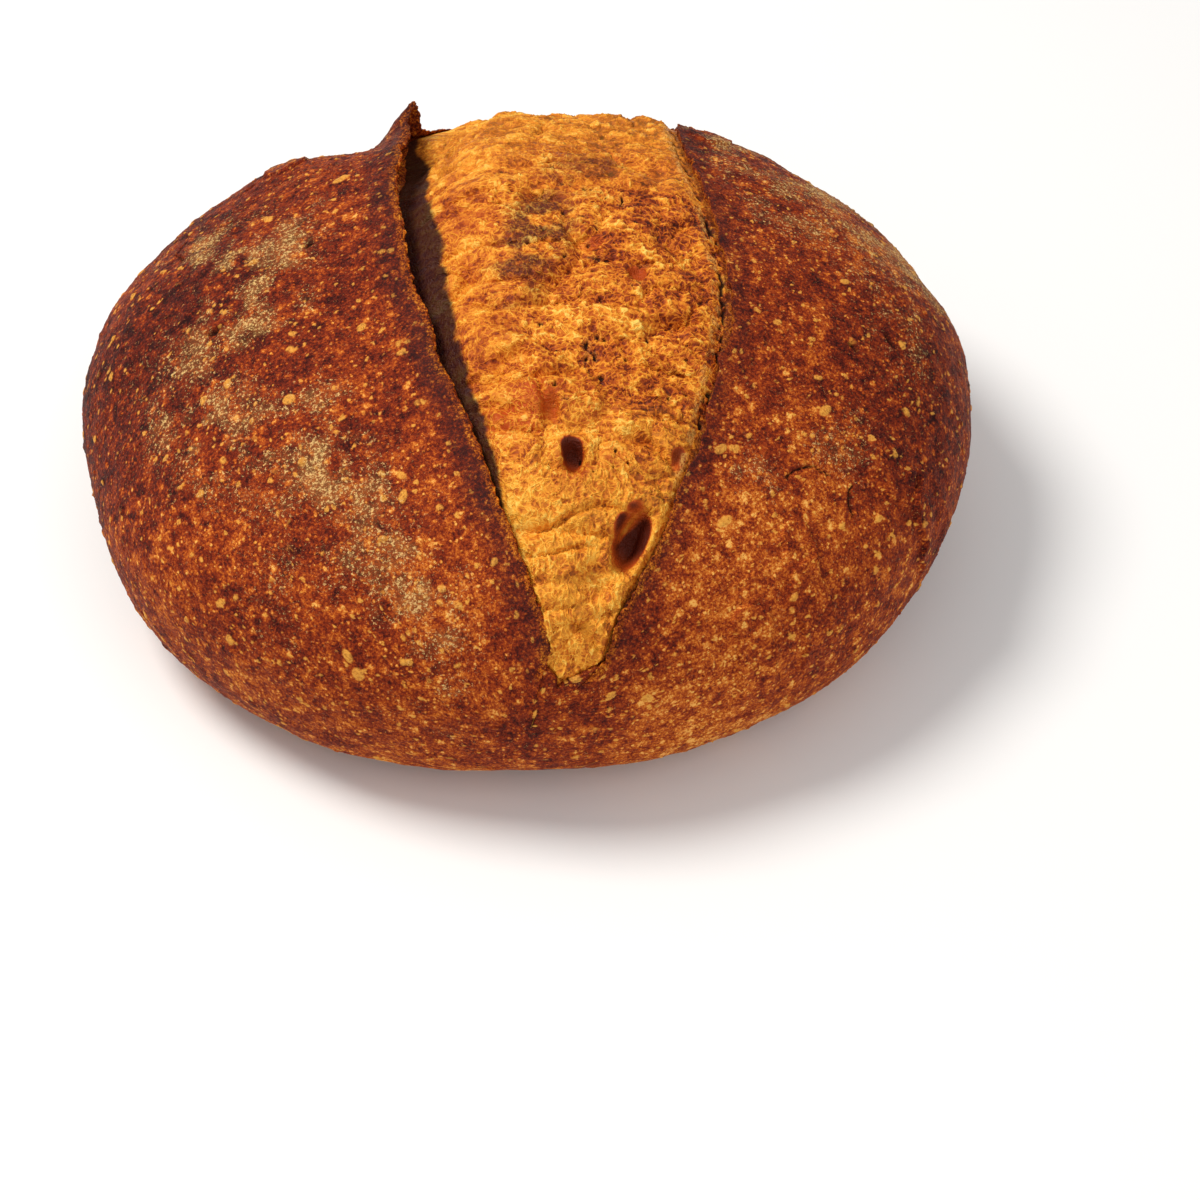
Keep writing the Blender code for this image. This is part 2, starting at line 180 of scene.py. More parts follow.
def read_curve(pairs, at):
    """A smooth curve through (position, value) pairs, read at the given positions."""
    place, value = np.array(pairs, float).T
    slope = np.gradient(value, place)
    i = np.clip(np.searchsorted(place, at) - 1, 0, len(place) - 2)
    gap = place[i + 1] - place[i]
    u = np.clip((at - place[i]) / gap, 0, 1)
    rise = ramp(u, 0, 1)
    start, end = u * (1 - u) ** 2, u * u * (u - 1)
    return value[i] * (1 - rise) + value[i + 1] * rise + gap * (slope[i] * start + slope[i + 1] * end)


def lattice(cell, seed):
    """A fixed random number from -1 to 1 for each whole-numbered cell."""
    mixed = (cell * HASH_AXES).sum(-1) + seed * HASH_SEED
    for bits, factor in HASH_MIXERS:
        mixed = (mixed ^ (mixed >> bits)) * factor & HASH_MASK
    return mixed / (HASH_MASK // 2) - 1


def noise(place, seed):
    """Smooth random values from -1 to 1 that change over a distance of 1."""
    corner = np.floor(place).astype(np.int64)
    u = place - corner
    u = u * u * u * (u * (u * 6 - 15) + 10)
    total = 0
    for step in np.ndindex(2, 2, 2):
        share = np.prod(np.where(step, u, 1 - u), -1)
        total = total + share * lattice(corner + step, seed)
    return total


def mottled(place, level, *layers):
    """A level that strays from place to place. Each layer of noise is an amount, a size and a seed."""
    for amount, size, seed in layers:
        level = level + amount * noise(place / np.array(size), seed)
    return level


def bump(point, x, y, radius):
    """A round rise, 1 over the place x, y and fading over the radius, at points of the loaf."""
    return np.exp(-(((point[..., 0] - x) ** 2 + (point[..., 1] - y) ** 2) / radius**2))


def soft_spots(point, rows):
    """The sum of round rises at points of the loaf. Each row is x, y, radius and amount."""
    return sum(amount * bump(point, x, y, radius) for x, y, radius, amount in rows)


def on_oval(dx, dy, turn, length, width):
    """A place seen from the middle of an oval: along and across it, as shares of its half-sizes."""
    c, s = math.cos(math.radians(turn)), math.sin(math.radians(turn))
    return (dx * c + dy * s) / length, (dy * c - dx * s) / width


# %% The dome before it is slashed


def plain_skin(station, turn):
    """The domed loaf. Turn goes from 0 underneath, by the left, to half a turn on top."""
    share = np.clip(np.abs(np.sin(station)), 0, 1)
    half, up, down = (
        size * (1 - share**power) ** (1 / power)
        for size, power in ((WIDTH / 2, PLAN_POWER), (HEIGHT - WAIST, DOME_POWER), (DROP, HEEL_POWER))
    )
    below = np.cos(turn) > 0
    power = np.where(below, 2 / HEEL_POWER, 1)
    sine, cosine = np.sin(turn), np.cos(turn)
    x = -half * np.sign(sine) * np.abs(sine) ** power
    z = WAIST - np.where(below, down, up) * np.sign(cosine) * np.abs(cosine) ** power
    return np.stack(np.broadcast_arrays(x, DEPTH / 2 * np.sin(station), z), -1)


def outward(point):
    """The unit direction straight out of the plain skin."""
    above = point[..., 2:] > WAIST
    radius = np.where(above, [WIDTH / 2, DEPTH / 2, HEIGHT - WAIST], [WIDTH / 2, DEPTH / 2, DROP])
    away = (point - np.array([0, 0, WAIST])) / radius**2
    return away / np.linalg.norm(away, axis=-1, keepdims=True)


def across(station, turn):
    """The unit direction along the skin, from left to right over the top."""
    step = 1e-3
    way = plain_skin(station, turn + step) - plain_skin(station, turn - step)
    return way / np.linalg.norm(way, axis=-1, keepdims=True)


def lumps(point):
    """How far the dough swells or sinks at a point of the skin. The base stays flat."""
    swell = sum(height * noise(point / size, seed) for size, height, seed in LUMPS)
    return (swell + soft_spots(point, SWELLS)) * ramp(point[..., 2], *BASE_FADE)


# %% [markdown]
# ## The slash
#
# A baker's blade lifts a thin sheet of dough. In the oven its edge dries, curls up and turns dark:
# that is the ear. Under it the torn crumb wells up. The functions below give the ear, its torn
# edge, and the far side, where the crust ends in a low broken edge.

# %% Edges of the slash
WANDERS = ((9, 1.0, 41), (24, 0.5, 42), (62, 0.30, 43), (150, 0.16, 44))  # waves per radian, share, seed
FAR_RAGGED, FAR_PULL, EAR_PULL = 0.0011, 0.003, 0.6
MOUTH_STRAY = (0.12, 0.004, 85)  # amount, size and seed of how the open mouth's limit strays
MOUTH_REACH, MOUTH_POWER, MOUTH_START, MOUTH_SOFT = 1.45, 0.8, -0.2, 0.16
HAIR = 1e-6  # an angle too small to see


def slash_open(station):
    """1 along the slash, falling to 0 where it closes at each end."""
    stops = (SLASH_FRONT, SLASH_FRONT + CLOSING, SLASH_BACK - CLOSING, SLASH_BACK)
    return window(np.degrees(station), stops)


def edge_turns(station):
    """Turns of the ear's edge and of the far edge at a station."""
    bearings = (read_curve(edge, np.degrees(station)) for edge in (EAR_EDGE, FAR_EDGE))
    return tuple(math.pi + np.radians(bearing) for bearing in bearings)


def along_slash(curve, station):
    """A size of the slash at a station, in metres."""
    return read_curve(curve, np.degrees(station)) / 1000


def wander(station, size, shift=0):
    """How far a torn edge strays at a station."""
    stray = 0
    for waves, share, seed in WANDERS:
        place = np.stack([station * waves, 0 * station, 0 * station], -1)
        stray = stray + share * noise(place, seed + shift)
    return size * stray * slash_open(station)


def ear_reach(station):
    """How far the ear's edge reaches over the gap at a station."""
    tip = TIP_LEAN * np.exp(-(((np.degrees(station) - TIP_STATION) / TIP_SPREAD) ** 2))
    return EAR_OVERHANG * slash_open(station) + wander(station, EAR_RAGGED) + tip


def mouth(station, share, point):
    """1 where the slash lies open, falling to 0 at the crust round its two ends."""
    side = mottled(point, np.abs(2 * np.clip(share, 0, 1) - 1), MOUTH_STRAY)
    limit = MOUTH_REACH * slash_open(station) ** MOUTH_POWER + MOUTH_START
    return 1 - ramp(side, limit, limit + MOUTH_SOFT)


def loose_sheets(point):
    """How high the flakes of skin stand off the crust at a point."""
    height = 0
    upper = ramp(point[..., 2], *FLAKE_FADE)
    ragged = mottled(point, 0, FLAKE_NOTCHES)
    for x, y, radius, lift in FLAKES:
        away = np.hypot(point[..., 0] - x, point[..., 1] - y) / radius + ragged
        sheet = (1 - ramp(away, *FLAKE_RIM)) * upper
        height = height + lift * sheet * (FLAKE_DISH + (1 - FLAKE_DISH) * np.minimum(away, 1))
    return height


def crust_point(station, turn):
    """A point of the browned crust, with the ear on the left of the slash and a low lip on its right."""
    point = plain_skin(station, turn)
    ear_turn, far_turn = edge_turns(station)
    to_ear = np.linalg.norm(point - plain_skin(station, ear_turn), axis=-1)
    to_far = np.linalg.norm(point - plain_skin(station, far_turn), axis=-1)
    left = turn <= ear_turn + HAIR
    reach = along_slash(EAR_REACH, station)
    curl = np.where(left, np.exp(-((to_ear / reach) ** EAR_CURL)), 0)
    pull = np.where(left, np.exp(-((to_ear / (EAR_PULL * reach)) ** EAR_CURL)), 0)
    far_pull = np.where(left, 0, np.exp(-to_far / FAR_PULL))
    lip = np.where(left, 0, FAR_LIP * np.exp(-to_far / FAR_LIP_REACH)) * slash_open(station)
    height = along_slash(EAR_LIFT, station) * curl + lip + lumps(point) + loose_sheets(point)
    shift = ear_reach(station) * pull
    shift = shift + wander(station, FAR_RAGGED, 10) * far_pull
    return point + outward(point) * height[..., None] + across(station, turn) * shift[..., None]


def lip_point(station, share):
    """A point of the ear's torn edge and underside, from the lip (share 0) into the gap (share 1)."""
    ear_turn, _ = edge_turns(station)
    point = plain_skin(station, ear_turn)
    rise = along_slash(EAR_LIFT, station)
    gap = along_slash(GAP_DEPTH, station)
    reach = ear_reach(station)
    back = EAR_UNDERCUT * slash_open(station)
    thick = np.minimum(CRUST_THICK * slash_open(station), THICKEST_LIP * (rise + gap))
    along, over = 0, lumps(point)
    for i, shares in enumerate(LIP_PROFILE):
        weight = np.maximum(0, 1 - np.abs(share * (len(LIP_PROFILE) - 1) - i))
        along = along + weight * (shares[0] * reach + shares[1] * thick + shares[2] * back)
        over = over + weight * (shares[3] * rise + shares[4] * thick + shares[5] * gap)
    return point + outward(point) * over[..., None] + across(station, ear_turn) * along[..., None]


# %% Surface of the crumb


def crumb_height(station, share):
    """How high the crumb stands over the plain skin, before its torn relief."""
    open_here = slash_open(station)
    climb = read_curve(CLIMB, np.degrees(station))
    held = np.clip(share, 0, 1)
    swell = along_slash(BLOOM, station) * np.sin(math.pi * held**BLOOM_ROUND) ** BLOOM_ROUND
    ridge = RIDGE_HEIGHT * np.exp(-(((share - RIDGE_PLACE) / RIDGE_WIDTH) ** 2))
    height = (swell + ridge * ramp(np.degrees(station), *RIDGE_START)) * open_here
    height = height - along_slash(GAP_DEPTH, station) * (1 - ramp(share, CRUMB_EDGES[0] / 2, climb))
    return height - FAR_STEP * open_here * ramp(share, *FAR_STEP_PLACE)


def strand_relief(point):
    """The broad torn strands: rounded ridges with clefts between them, mostly across the slash."""
    height = 0
    for length, width, tall, seed in STRANDS:
        bend = STRAND_BEND * noise(point / STRAND_BEND_SIZE, seed + 5)[..., None]
        cleft = np.abs(noise(point / np.array([length, width, width]) + bend, seed))
        height = height + tall * (np.minimum(CLEFT_SHARPNESS * cleft, 1) - CLEFT_LEVEL)
    return height


def pockets(point):
    """(depth, how much painted shade) for the pockets torn open in the crumb."""
    depth, cover = 0, 0
    for (x, y, length, width, turn, deep), dark in zip(POCKETS, POCKET_SHADE_AMOUNTS):
        along, over = on_oval(point[..., 0] - x, point[..., 1] - y, turn, length, width)
        away = np.hypot(along, over)
        depth = depth + deep * (1 - ramp(away, *POCKET_WALL))
        upper_end = POCKET_LIT + (1 - POCKET_LIT) * ramp(along, *POCKET_SHADE)
        cover = np.maximum(cover, dark * upper_end * (1 - ramp(away, *POCKET_RIM)))
    return depth, cover


def crumb_slot(station, share):
    """The place on the plain skin below a point of the crumb, and the turn there."""
    ear_turn, far_turn = edge_turns(station)
    turn = ear_turn + share * (far_turn - ear_turn)
    return plain_skin(station, turn), turn


def crumb_point(station, share):
    """A point of the torn crumb, from the gap under the ear (share 0) to the far edge (share 1)."""
    point, _ = crumb_slot(station, share)
    opened = mouth(station, share, point)
    torn = window(share, CRUMB_EDGES) * opened
    depth, _ = pockets(point)
    strands = strand_relief(point) * (1 - POCKET_CALM * ramp(depth, 0, POCKET_CALM_DEPTH))
    height = crumb_height(station, share) + (strands - depth) * torn + lumps(point)
    height = height - CRUMB_DIVE * (1 - opened)
    return point + outward(point) * height[..., None]


# %% [markdown]
# ## Grids of points
#
# Each section of the loaf becomes a row of points. The crust's rows run from the middle of the base
# up the left side, round the ear's torn edge, through a hidden trench below the crumb, and down the
# right side. The crumb lies over the trench as a piece of its own, so that its points can lie closer
# together and its edges can be tucked under the crust.

# %% Grid of the crust
CRUST_STEP = 0.00055  # distance between points of the crust
CRUMB_STEP = 0.00036
CRUMB_DIVE = 0.0020  # how far the crumb's two ends sink below the crust
CRUMB_TUCK = 0.030  # share of the width by which its sides reach under the crust
TRENCH, DEEPEST_SPREAD = 0.0055, 0.012  # depth of the hidden floor, and room below the deepest pocket
CRUMB_SKIRT = 0.009  # how far the crumb's hidden sides reach down
WALL_BOW = 0.0006  # how far the broken edge on the far side is hollowed
BASE_STRIPS, LIP_STRIPS, TRENCH_STRIPS, WALL_STRIPS = 8, 24, 18, 5
DENSE = 1200  # points at which the length of a curve is measured
coarser = 1


def lengths_along(points):
    """How far along a line of points each of them lies."""
    return np.concatenate([[0], np.cumsum(np.linalg.norm(np.diff(points, axis=0), axis=1))])


def even_shares(curve):
    """Shares along a curve, given as a function of a share, that lie evenly along its length."""
    dense = np.linspace(0, 1, DENSE)
    run = lengths_along(curve(dense))
    count = round(run[-1] / (CRUST_STEP * coarser))
    return np.interp(np.linspace(0, run[-1], count + 1), run, dense)


heel = math.radians(HEEL_TURN)
middle_ear, middle_far = edge_turns(np.zeros(1))
left_shares = even_shares(lambda s: plain_skin(0 * s, heel + s * (middle_ear - heel)))
right_shares = even_shares(lambda s: plain_skin(0 * s, heel + s * (2 * math.pi - middle_far - heel)))
crown_shares = even_shares(lambda s: plain_skin((s - 0.5) * math.pi, math.pi + 0 * s))[1:-1]
stations = ((crown_shares - 0.5) * math.pi)[:, None]

base_shares = np.linspace(0, 1, BASE_STRIPS + 1)
base_turns = np.arcsin((base_shares * math.sin(heel) ** (2 / HEEL_POWER)) ** (HEEL_POWER / 2)) + 0 * stations
ear_turns, far_turns = edge_turns(stations)
left_turns = np.concatenate([base_turns[:, :-1], heel + left_shares * (ear_turns - heel)], 1)
right_turns = np.concatenate(
    [heel + right_shares[::-1] * (2 * math.pi - far_turns - heel), base_turns[:, -2::-1]], 1
)
lip_shares = np.linspace(0, 1, LIP_STRIPS + 1)[1:]
trench_shares = np.linspace(0, 1, TRENCH_STRIPS + 1)
wall_shares = np.linspace(0, 1, WALL_STRIPS + 1)[1:-1]


def trench_point(station, share):
    """The hidden floor below the crumb. Where the slash closes it rises to be the crust itself."""
    point, _ = crumb_slot(station, share)
    x, y, deep = POCKETS[0][0], POCKETS[0][1], POCKETS[0][-1]
    sunk = (TRENCH + deep * bump(point, x, y, DEEPEST_SPREAD)) * mouth(station, share, point)
    return point + outward(point) * (crumb_height(station, share) - sunk + lumps(point))[..., None]


def wall_point(station, share):
    """The broken edge of the crust on the far side, from the trench (share 0) up to its lip (share 1)."""
    low = trench_point(station, np.ones((1, 1)))
    high = crust_point(station, edge_turns(station)[1] + HAIR)
    back = across(station, edge_turns(station)[1]) * WALL_BOW * np.sin(math.pi * share)[None, :, None]
    return low + (high - low) * share[None, :, None] + back * slash_open(station)[..., None]


stretches = {
    "left": crust_point(stations, left_turns),
    "lip": lip_point(stations, lip_shares),
    "trench": trench_point(stations, trench_shares),
    "wall": wall_point(stations, wall_shares),
    "right": crust_point(stations, 2 * math.pi - right_turns),
}
columns, start = {}, 0
for name, stretch in stretches.items():
    columns[name] = slice(start, start + stretch.shape[1])
    start += stretch.shape[1]
crust = np.concatenate(list(stretches.values()), 1)
crust[..., 2] = np.maximum(crust[..., 2], 0)

plain_low, plain_high = crust.min((0, 1)), crust.max((0, 1))
loaf_low, loaf_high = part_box("loaf")
recentre = np.array([(loaf_low[i] + loaf_high[i] - plain_low[i] - plain_high[i]) / 2 for i in (0, 1)] + [0])
print("crust grid", crust.shape, "moved by", np.round(recentre * 1000, 2), "mm")

# %% [markdown]
# ## Where each look belongs
#
# A real crust isn't one colour. It is dark where the oven reached it first, beside the ear and on the
# shoulders, and paler below. Its darker rims at the left and right are painted shade as well. Each such
# look is a number at every point, worked out here from places on the loaf, and the materials read it
# later by name.

# %% Regions of the crust
# Flour: x, y, radius, amount.
FLOUR = (
    (-0.077, 0.012, 0.017, 0.95), (-0.070, -0.010, 0.012, 0.95), (-0.090, 0.030, 0.015, 0.7),
    (-0.062, 0.030, 0.014, 0.4), (-0.087, -0.042, 0.012, 0.8), (-0.090, -0.020, 0.016, 0.5),
    (-0.078, -0.059, 0.014, 0.5), (-0.057, -0.050, 0.013, 0.6), (-0.050, -0.066, 0.012, 0.6),
    (-0.045, -0.079, 0.011, 0.85), (-0.031, -0.096, 0.010, 0.8), (-0.020, -0.106, 0.010, 0.6),
    (-0.062, -0.090, 0.012, 0.3), (0.066, 0.078, 0.018, 0.7), (0.092, 0.068, 0.020, 0.8),
    (0.111, 0.046, 0.018, 0.8), (0.121, 0.024, 0.018, 0.7), (0.088, 0.020, 0.016, 0.35),
    (0.107, -0.012, 0.012, 0.4), (0.092, -0.050, 0.010, 0.6), (0.063, -0.066, 0.008, 0.5),
    (0.075, 0.045, 0.018, 0.35), (-0.060, 0.085, 0.024, 0.5), (0.020, 0.114, 0.018, 0.5),
)
# Harder baking, or softer where the amount is negative. The darker spots on the left and right rims are
# painted shade: x, y, radius, amount.
BAKE_TONES_AND_RIM_SHADE = (
    (-0.122, 0.000, 0.034, 0.26), (-0.090, 0.075, 0.034, 0.16), (0.125, -0.030, 0.030, 0.08),
    (0.060, 0.000, 0.040, -0.06), (-0.085, -0.075, 0.040, -0.18), (-0.026, -0.110, 0.030, -0.34),
    (0.050, -0.100, 0.030, -0.40), (0.078, -0.085, 0.024, 0.06), (-0.047, -0.030, 0.030, 0.04),
    (0.083, 0.040, 0.040, -0.10), (0.083, -0.045, 0.028, -0.18), (-0.088, 0.004, 0.020, 0.10),
    (-0.095, -0.050, 0.024, -0.02), (0.100, -0.085, 0.030, -0.18), (0.118, 0.033, 0.022, -0.18),
)
# Blisters that stand out: x, y, half-length, half-width, turn, height.
BLISTERS = (
    (-0.0730, 0.0123, 0.0020, 0.0014, 20, 0.0005), (-0.0489, 0.0459, 0.0034, 0.0018, 30, 0.0005),
    (-0.0411, -0.0244, 0.0019, 0.0014, 60, 0.0006), (-0.0333, 0.0021, 0.0012, 0.0012, 0, 0.0004),
    (-0.0789, -0.0324, 0.0021, 0.0013, 80, 0.0005), (-0.0610, -0.0450, 0.0022, 0.0019, 10, 0.0005),
    (-0.0788, -0.0913, 0.0020, 0.0015, 40, 0.0005), (-0.0459, -0.1065, 0.0026, 0.0015, 85, 0.0005),
    (-0.0432, -0.1093, 0.0024, 0.0020, 70, 0.0004), (-0.0300, -0.0780, 0.0024, 0.0013, 75, 0.0005),
    (-0.0570, -0.0640, 0.0017, 0.0014, 60, 0.0005), (0.0560, -0.0620, 0.0026, 0.0015, 45, 0.0005),
    (0.0740, -0.0180, 0.0016, 0.0012, 30, 0.0004), (0.0860, -0.0420, 0.0028, 0.0016, 50, 0.0005),
    (0.0560, -0.0800, 0.0030, 0.0015, 40, 0.0004), (0.0950, 0.0050, 0.0018, 0.0013, 20, 0.0004),
)
# Pits where gas broke through: x, y, half-length, half-width, turn, depth.
PITS = (
    (-0.0833, -0.0113, 0.0030, 0.0016, 8, 0.0022), (-0.0570, 0.0153, 0.0020, 0.0009, 60, 0.0013),
    (0.1074, -0.0123, 0.0030, 0.0010, -45, 0.0018), (0.0956, -0.0194, 0.0022, 0.0008, -30, 0.0012),
    (-0.0770, 0.0610, 0.0018, 0.0012, 50, 0.0012), (-0.0400, 0.1000, 0.0020, 0.0014, 10, 0.0014),
)
# Cracks: the points that each one passes through, as x, y.
CRACKS = (
    ((0.0923, -0.0600), (0.0915, -0.0640), (0.0922, -0.0680)),
    ((0.0740, -0.0649), (0.0803, -0.0596), (0.0858, -0.0600)),
    ((-0.0950, 0.0300), (-0.0980, 0.0360), (-0.0960, 0.0420)),
    ((0.0380, 0.1000), (0.0480, 0.0970), (0.0550, 0.1000)),
)
OVAL_THICK = 0.004  # how far off the skin a point may lie and still belong to an oval
PIT_SOFT, BLISTER_SOFT = (0.6, 1.2), (0.3, 1.15)
CRACK_WIDTH, CRACK_DEPTH, CRACK_SOFT = 0.0005, 0.0007, 0.2
CRACK_WANDER, CRACK_NOISE, CRACK_SEEDS = 0.0006, 0.002, (61, 62)


def ovals(point, rows, soft):
    """(depth, cover) of a list of ovals that lie flat on the crust."""
    depth, cover = np.zeros(len(point)), np.zeros(len(point))
    for x, y, length, width, turn, deep in rows:
        off = np.hypot(point[:, 0] - x, point[:, 1] - y) + (point[:, 2] < WAIST)
        middle = point[np.argmin(off)]
        out = outward(middle)
        side = np.array([out[2], 0, -out[0]]) / np.hypot(out[0], out[2])
        ahead = np.cross(out, side)
        dx, dy, dz = ((point - middle) @ way for way in (side, ahead, out))
        along, over = on_oval(dx, dy, turn, length, width)
        inside = 1 - ramp(np.sqrt(along**2 + over**2 + (dz / OVAL_THICK) ** 2), *soft)
        depth, cover = depth + deep * inside, np.maximum(cover, inside)
    return depth, cover


def crack_cover(point):
    """1 along the middle of each crack, falling to 0 at its sides."""
    cover = 0
    stray = np.stack([noise(point / CRACK_NOISE, seed) for seed in CRACK_SEEDS], -1)
    spot = point[..., :2] + CRACK_WANDER * stray
    for line in CRACKS:
        for a, b in zip(np.array(line), np.array(line)[1:]):
            t = np.clip(((spot - a) @ (b - a)) / ((b - a) @ (b - a)), 0, 1)
            away = np.linalg.norm(spot - a - t[..., None] * (b - a), axis=-1)
            cover = np.maximum(cover, 1 - ramp(away, CRACK_SOFT * CRACK_WIDTH, CRACK_WIDTH))
    return cover


# Layers of noise in the looks of the crust: amount, size and seed of each.
FLOUR_PATCHES = ((0.8, 0.009, 71), (0.5, 0.0035, 72))
BAKE_PATCHES = ((0.16, 0.035, 74), (0.14, 0.012, 75))
DUST_LINE, FRINGE_STRAY = (0.004, 0.02, 73), (0.5, 0.0030, 77)
SINGE_STREAKS = (0.4, (0.004, 0.016, 0.004), 76)

FLOUR_LEVEL, FLOUR_MOST = 0.55, 1.5
DUST_AMOUNT, DUST_START, DUST_HEIGHT = 0.9, 0.001, 0.0075  # flour of the board on the lowest rim
BAKE_LEVEL, PALE_HEEL, HEEL_HEIGHTS = 0.5, 0.2, (0.008, 0.030)
SINGE_LEVEL, EAR_SINGE, FAR_SINGE, FAR_SINGE_AMOUNT = 0.72, 0.0082, 0.0055, 0.7
UPPER = (0.028, 0.036)  # heights over which flour, pits and blisters set in
FRINGE = (0.0012, 0.0028)  # width of the ragged orange fringe along the ear
FRINGE_SOFT = (0.7, 1.1)
FAR_FRINGE_END = (-44, -36)  # stations over which the fringe on the far side dies away
LEAF, LEAF_DEPTH = (36, 48, 57, 61), 0.012  # stations of the tall leaf of the ear, singed on both faces
COVERED_MOUTH, COVERED_OPEN = (0.05, 0.25), (0.02, 0.35)
SKIN_START, SMOOTH_LIP, LIP_FADE = (0.003, 0.012), 0.7, 0.0022  # no blisters at the base and the ear's lip


def crust_looks(points, from_ear, from_far, opening, on_left):
    """The looks of browned crust at points, given how far they are from the two edges of the slash."""
    tall = points[:, 2]
    flour = soft_spots(points, FLOUR) * ramp(tall, *UPPER)
    flour = flour * np.clip(mottled(points, FLOUR_LEVEL, *FLOUR_PATCHES), 0, FLOUR_MOST)
    dusted = DUST_AMOUNT * (1 - ramp(tall, DUST_START, mottled(points, DUST_HEIGHT, DUST_LINE)))
    # The tones darken the rims as painted shade, beside real spots of harder and softer baking.
    bake_and_shade = mottled(points, BAKE_LEVEL, *BAKE_PATCHES) + soft_spots(points, BAKE_TONES_AND_RIM_SHADE)
    bake_and_shade = bake_and_shade - PALE_HEEL * (1 - ramp(tall, *HEEL_HEIGHTS))
    streaks = mottled(points, SINGE_LEVEL, SINGE_STREAKS)
    near_ear = np.exp(-((from_ear / EAR_SINGE) ** 4)) * on_left * opening * streaks
    near_far = np.exp(-((from_far / FAR_SINGE) ** 2)) * ~on_left * opening * streaks
    return {
        "flour": np.clip(flour + dusted, 0, 1),
        "bake_and_shade": np.clip(bake_and_shade, 0, 1),
        "singed": np.clip(near_ear + FAR_SINGE_AMOUNT * near_far, 0, 1),
    }


flat = crust.reshape(-1, 3)
to_ear = np.linalg.norm(crust - crust[:, columns["left"]][:, -1:], axis=-1).ravel()
to_far = np.linalg.norm(crust - crust[:, columns["right"]][:, :1], axis=-1).ravel()
open_all = np.broadcast_to(slash_open(stations), crust.shape[:2]).ravel()
degrees_here = np.degrees(np.broadcast_to(stations, crust.shape[:2]).ravel())
column = np.broadcast_to(np.arange(crust.shape[1]), crust.shape[:2]).ravel()
is_left = column < columns["left"].stop
is_crust = is_left | (column >= columns["right"].start)
covered = np.zeros(crust.shape[:2])
covered[:, columns["lip"]] = 1
covered[:, columns["wall"]] = 1
trench_plain, _ = crumb_slot(stations, trench_shares)
covered[:, columns["trench"]] = ramp(mouth(stations, trench_shares, trench_plain), *COVERED_MOUTH)
covered = covered.ravel() * ramp(open_all, *COVERED_OPEN)
looks = crust_looks(flat, to_ear, to_far, open_all, is_left)

upper = ramp(flat[:, 2], *UPPER)
depth, pit_cover = ovals(flat, PITS, PIT_SOFT)
blister_height, blister_cover = ovals(flat, BLISTERS, BLISTER_SOFT)
cracks = crack_cover(flat) * upper
fringe_width = FRINGE[0] + (FRINGE[1] - FRINGE[0]) * mottled(flat, 0.5, FRINGE_STRAY)
fringe = 1 - ramp(np.where(is_left, to_ear, to_far) / fringe_width, *FRINGE_SOFT)
fringe = fringe * is_crust * np.where(is_left, 1, 1 - ramp(degrees_here, *FAR_FRINGE_END))
leaf = window(degrees_here, LEAF) * (column < columns["trench"].start)
smooth = SMOOTH_LIP * np.exp(-to_ear / LIP_FADE) * is_left
looks["singed"] = np.maximum(looks["singed"], leaf * np.exp(-to_ear / LEAF_DEPTH))
looks["torn"] = np.where(is_crust, fringe * ramp(open_all, *COVERED_OPEN), covered)
# Pits and cracks are dug in; their dark colour is painted shade.
looks["hollow"] = np.clip(pit_cover * upper + cracks, 0, 1)
looks["bubble"] = blister_cover * upper
looks["skin"] = (1 - covered) * ramp(flat[:, 2], *SKIN_START) * (1 - smooth)
flat += outward(flat) * ((blister_height - depth) * upper - CRACK_DEPTH * cracks)[:, None]
print("crust looks", {name: round(float(np.mean(value)), 3) for name, value in looks.items()})

# %% [markdown]
# ## A small bench for node trees
#
# Both geometry and materials are made from nodes. Sums read better as sums, so a socket is wrapped in
# a small class whose plus, minus and times add Math nodes. One method makes every other node.

# %% The bench


class Quantity:
    """A socket in a node tree. Arithmetic on it adds Math nodes and gives a new Quantity."""

    def __init__(self, bench, socket):
        self.bench, self.socket = bench, socket

    def maths(self, operation, *others):
        return self.bench.add("ShaderNodeMath", {"operation": operation}, (self, *others))

    def __add__(self, other):
        return self.maths("ADD", other)

    def __sub__(self, other):
        return self.maths("SUBTRACT", other)

    def __mul__(self, other):
        return self.maths("MULTIPLY", other)

    def __truediv__(self, other):
        return self.maths("DIVIDE", other)

    def __rsub__(self, other):
        return self.bench.number(other) - self

    __radd__ = __add__

    def ramp(self, low, high, start=0, end=1):
        """Start below low, end above high, and a smooth step between."""
        settings = {"interpolation_type": "SMOOTHSTEP"}
        return self.bench.add("ShaderNodeMapRange", settings, (self, low, high, start, end))

    def sibling(self, name):
        """Another output of the node that made this one."""
        return Quantity(self.bench, self.socket.node.outputs[name])


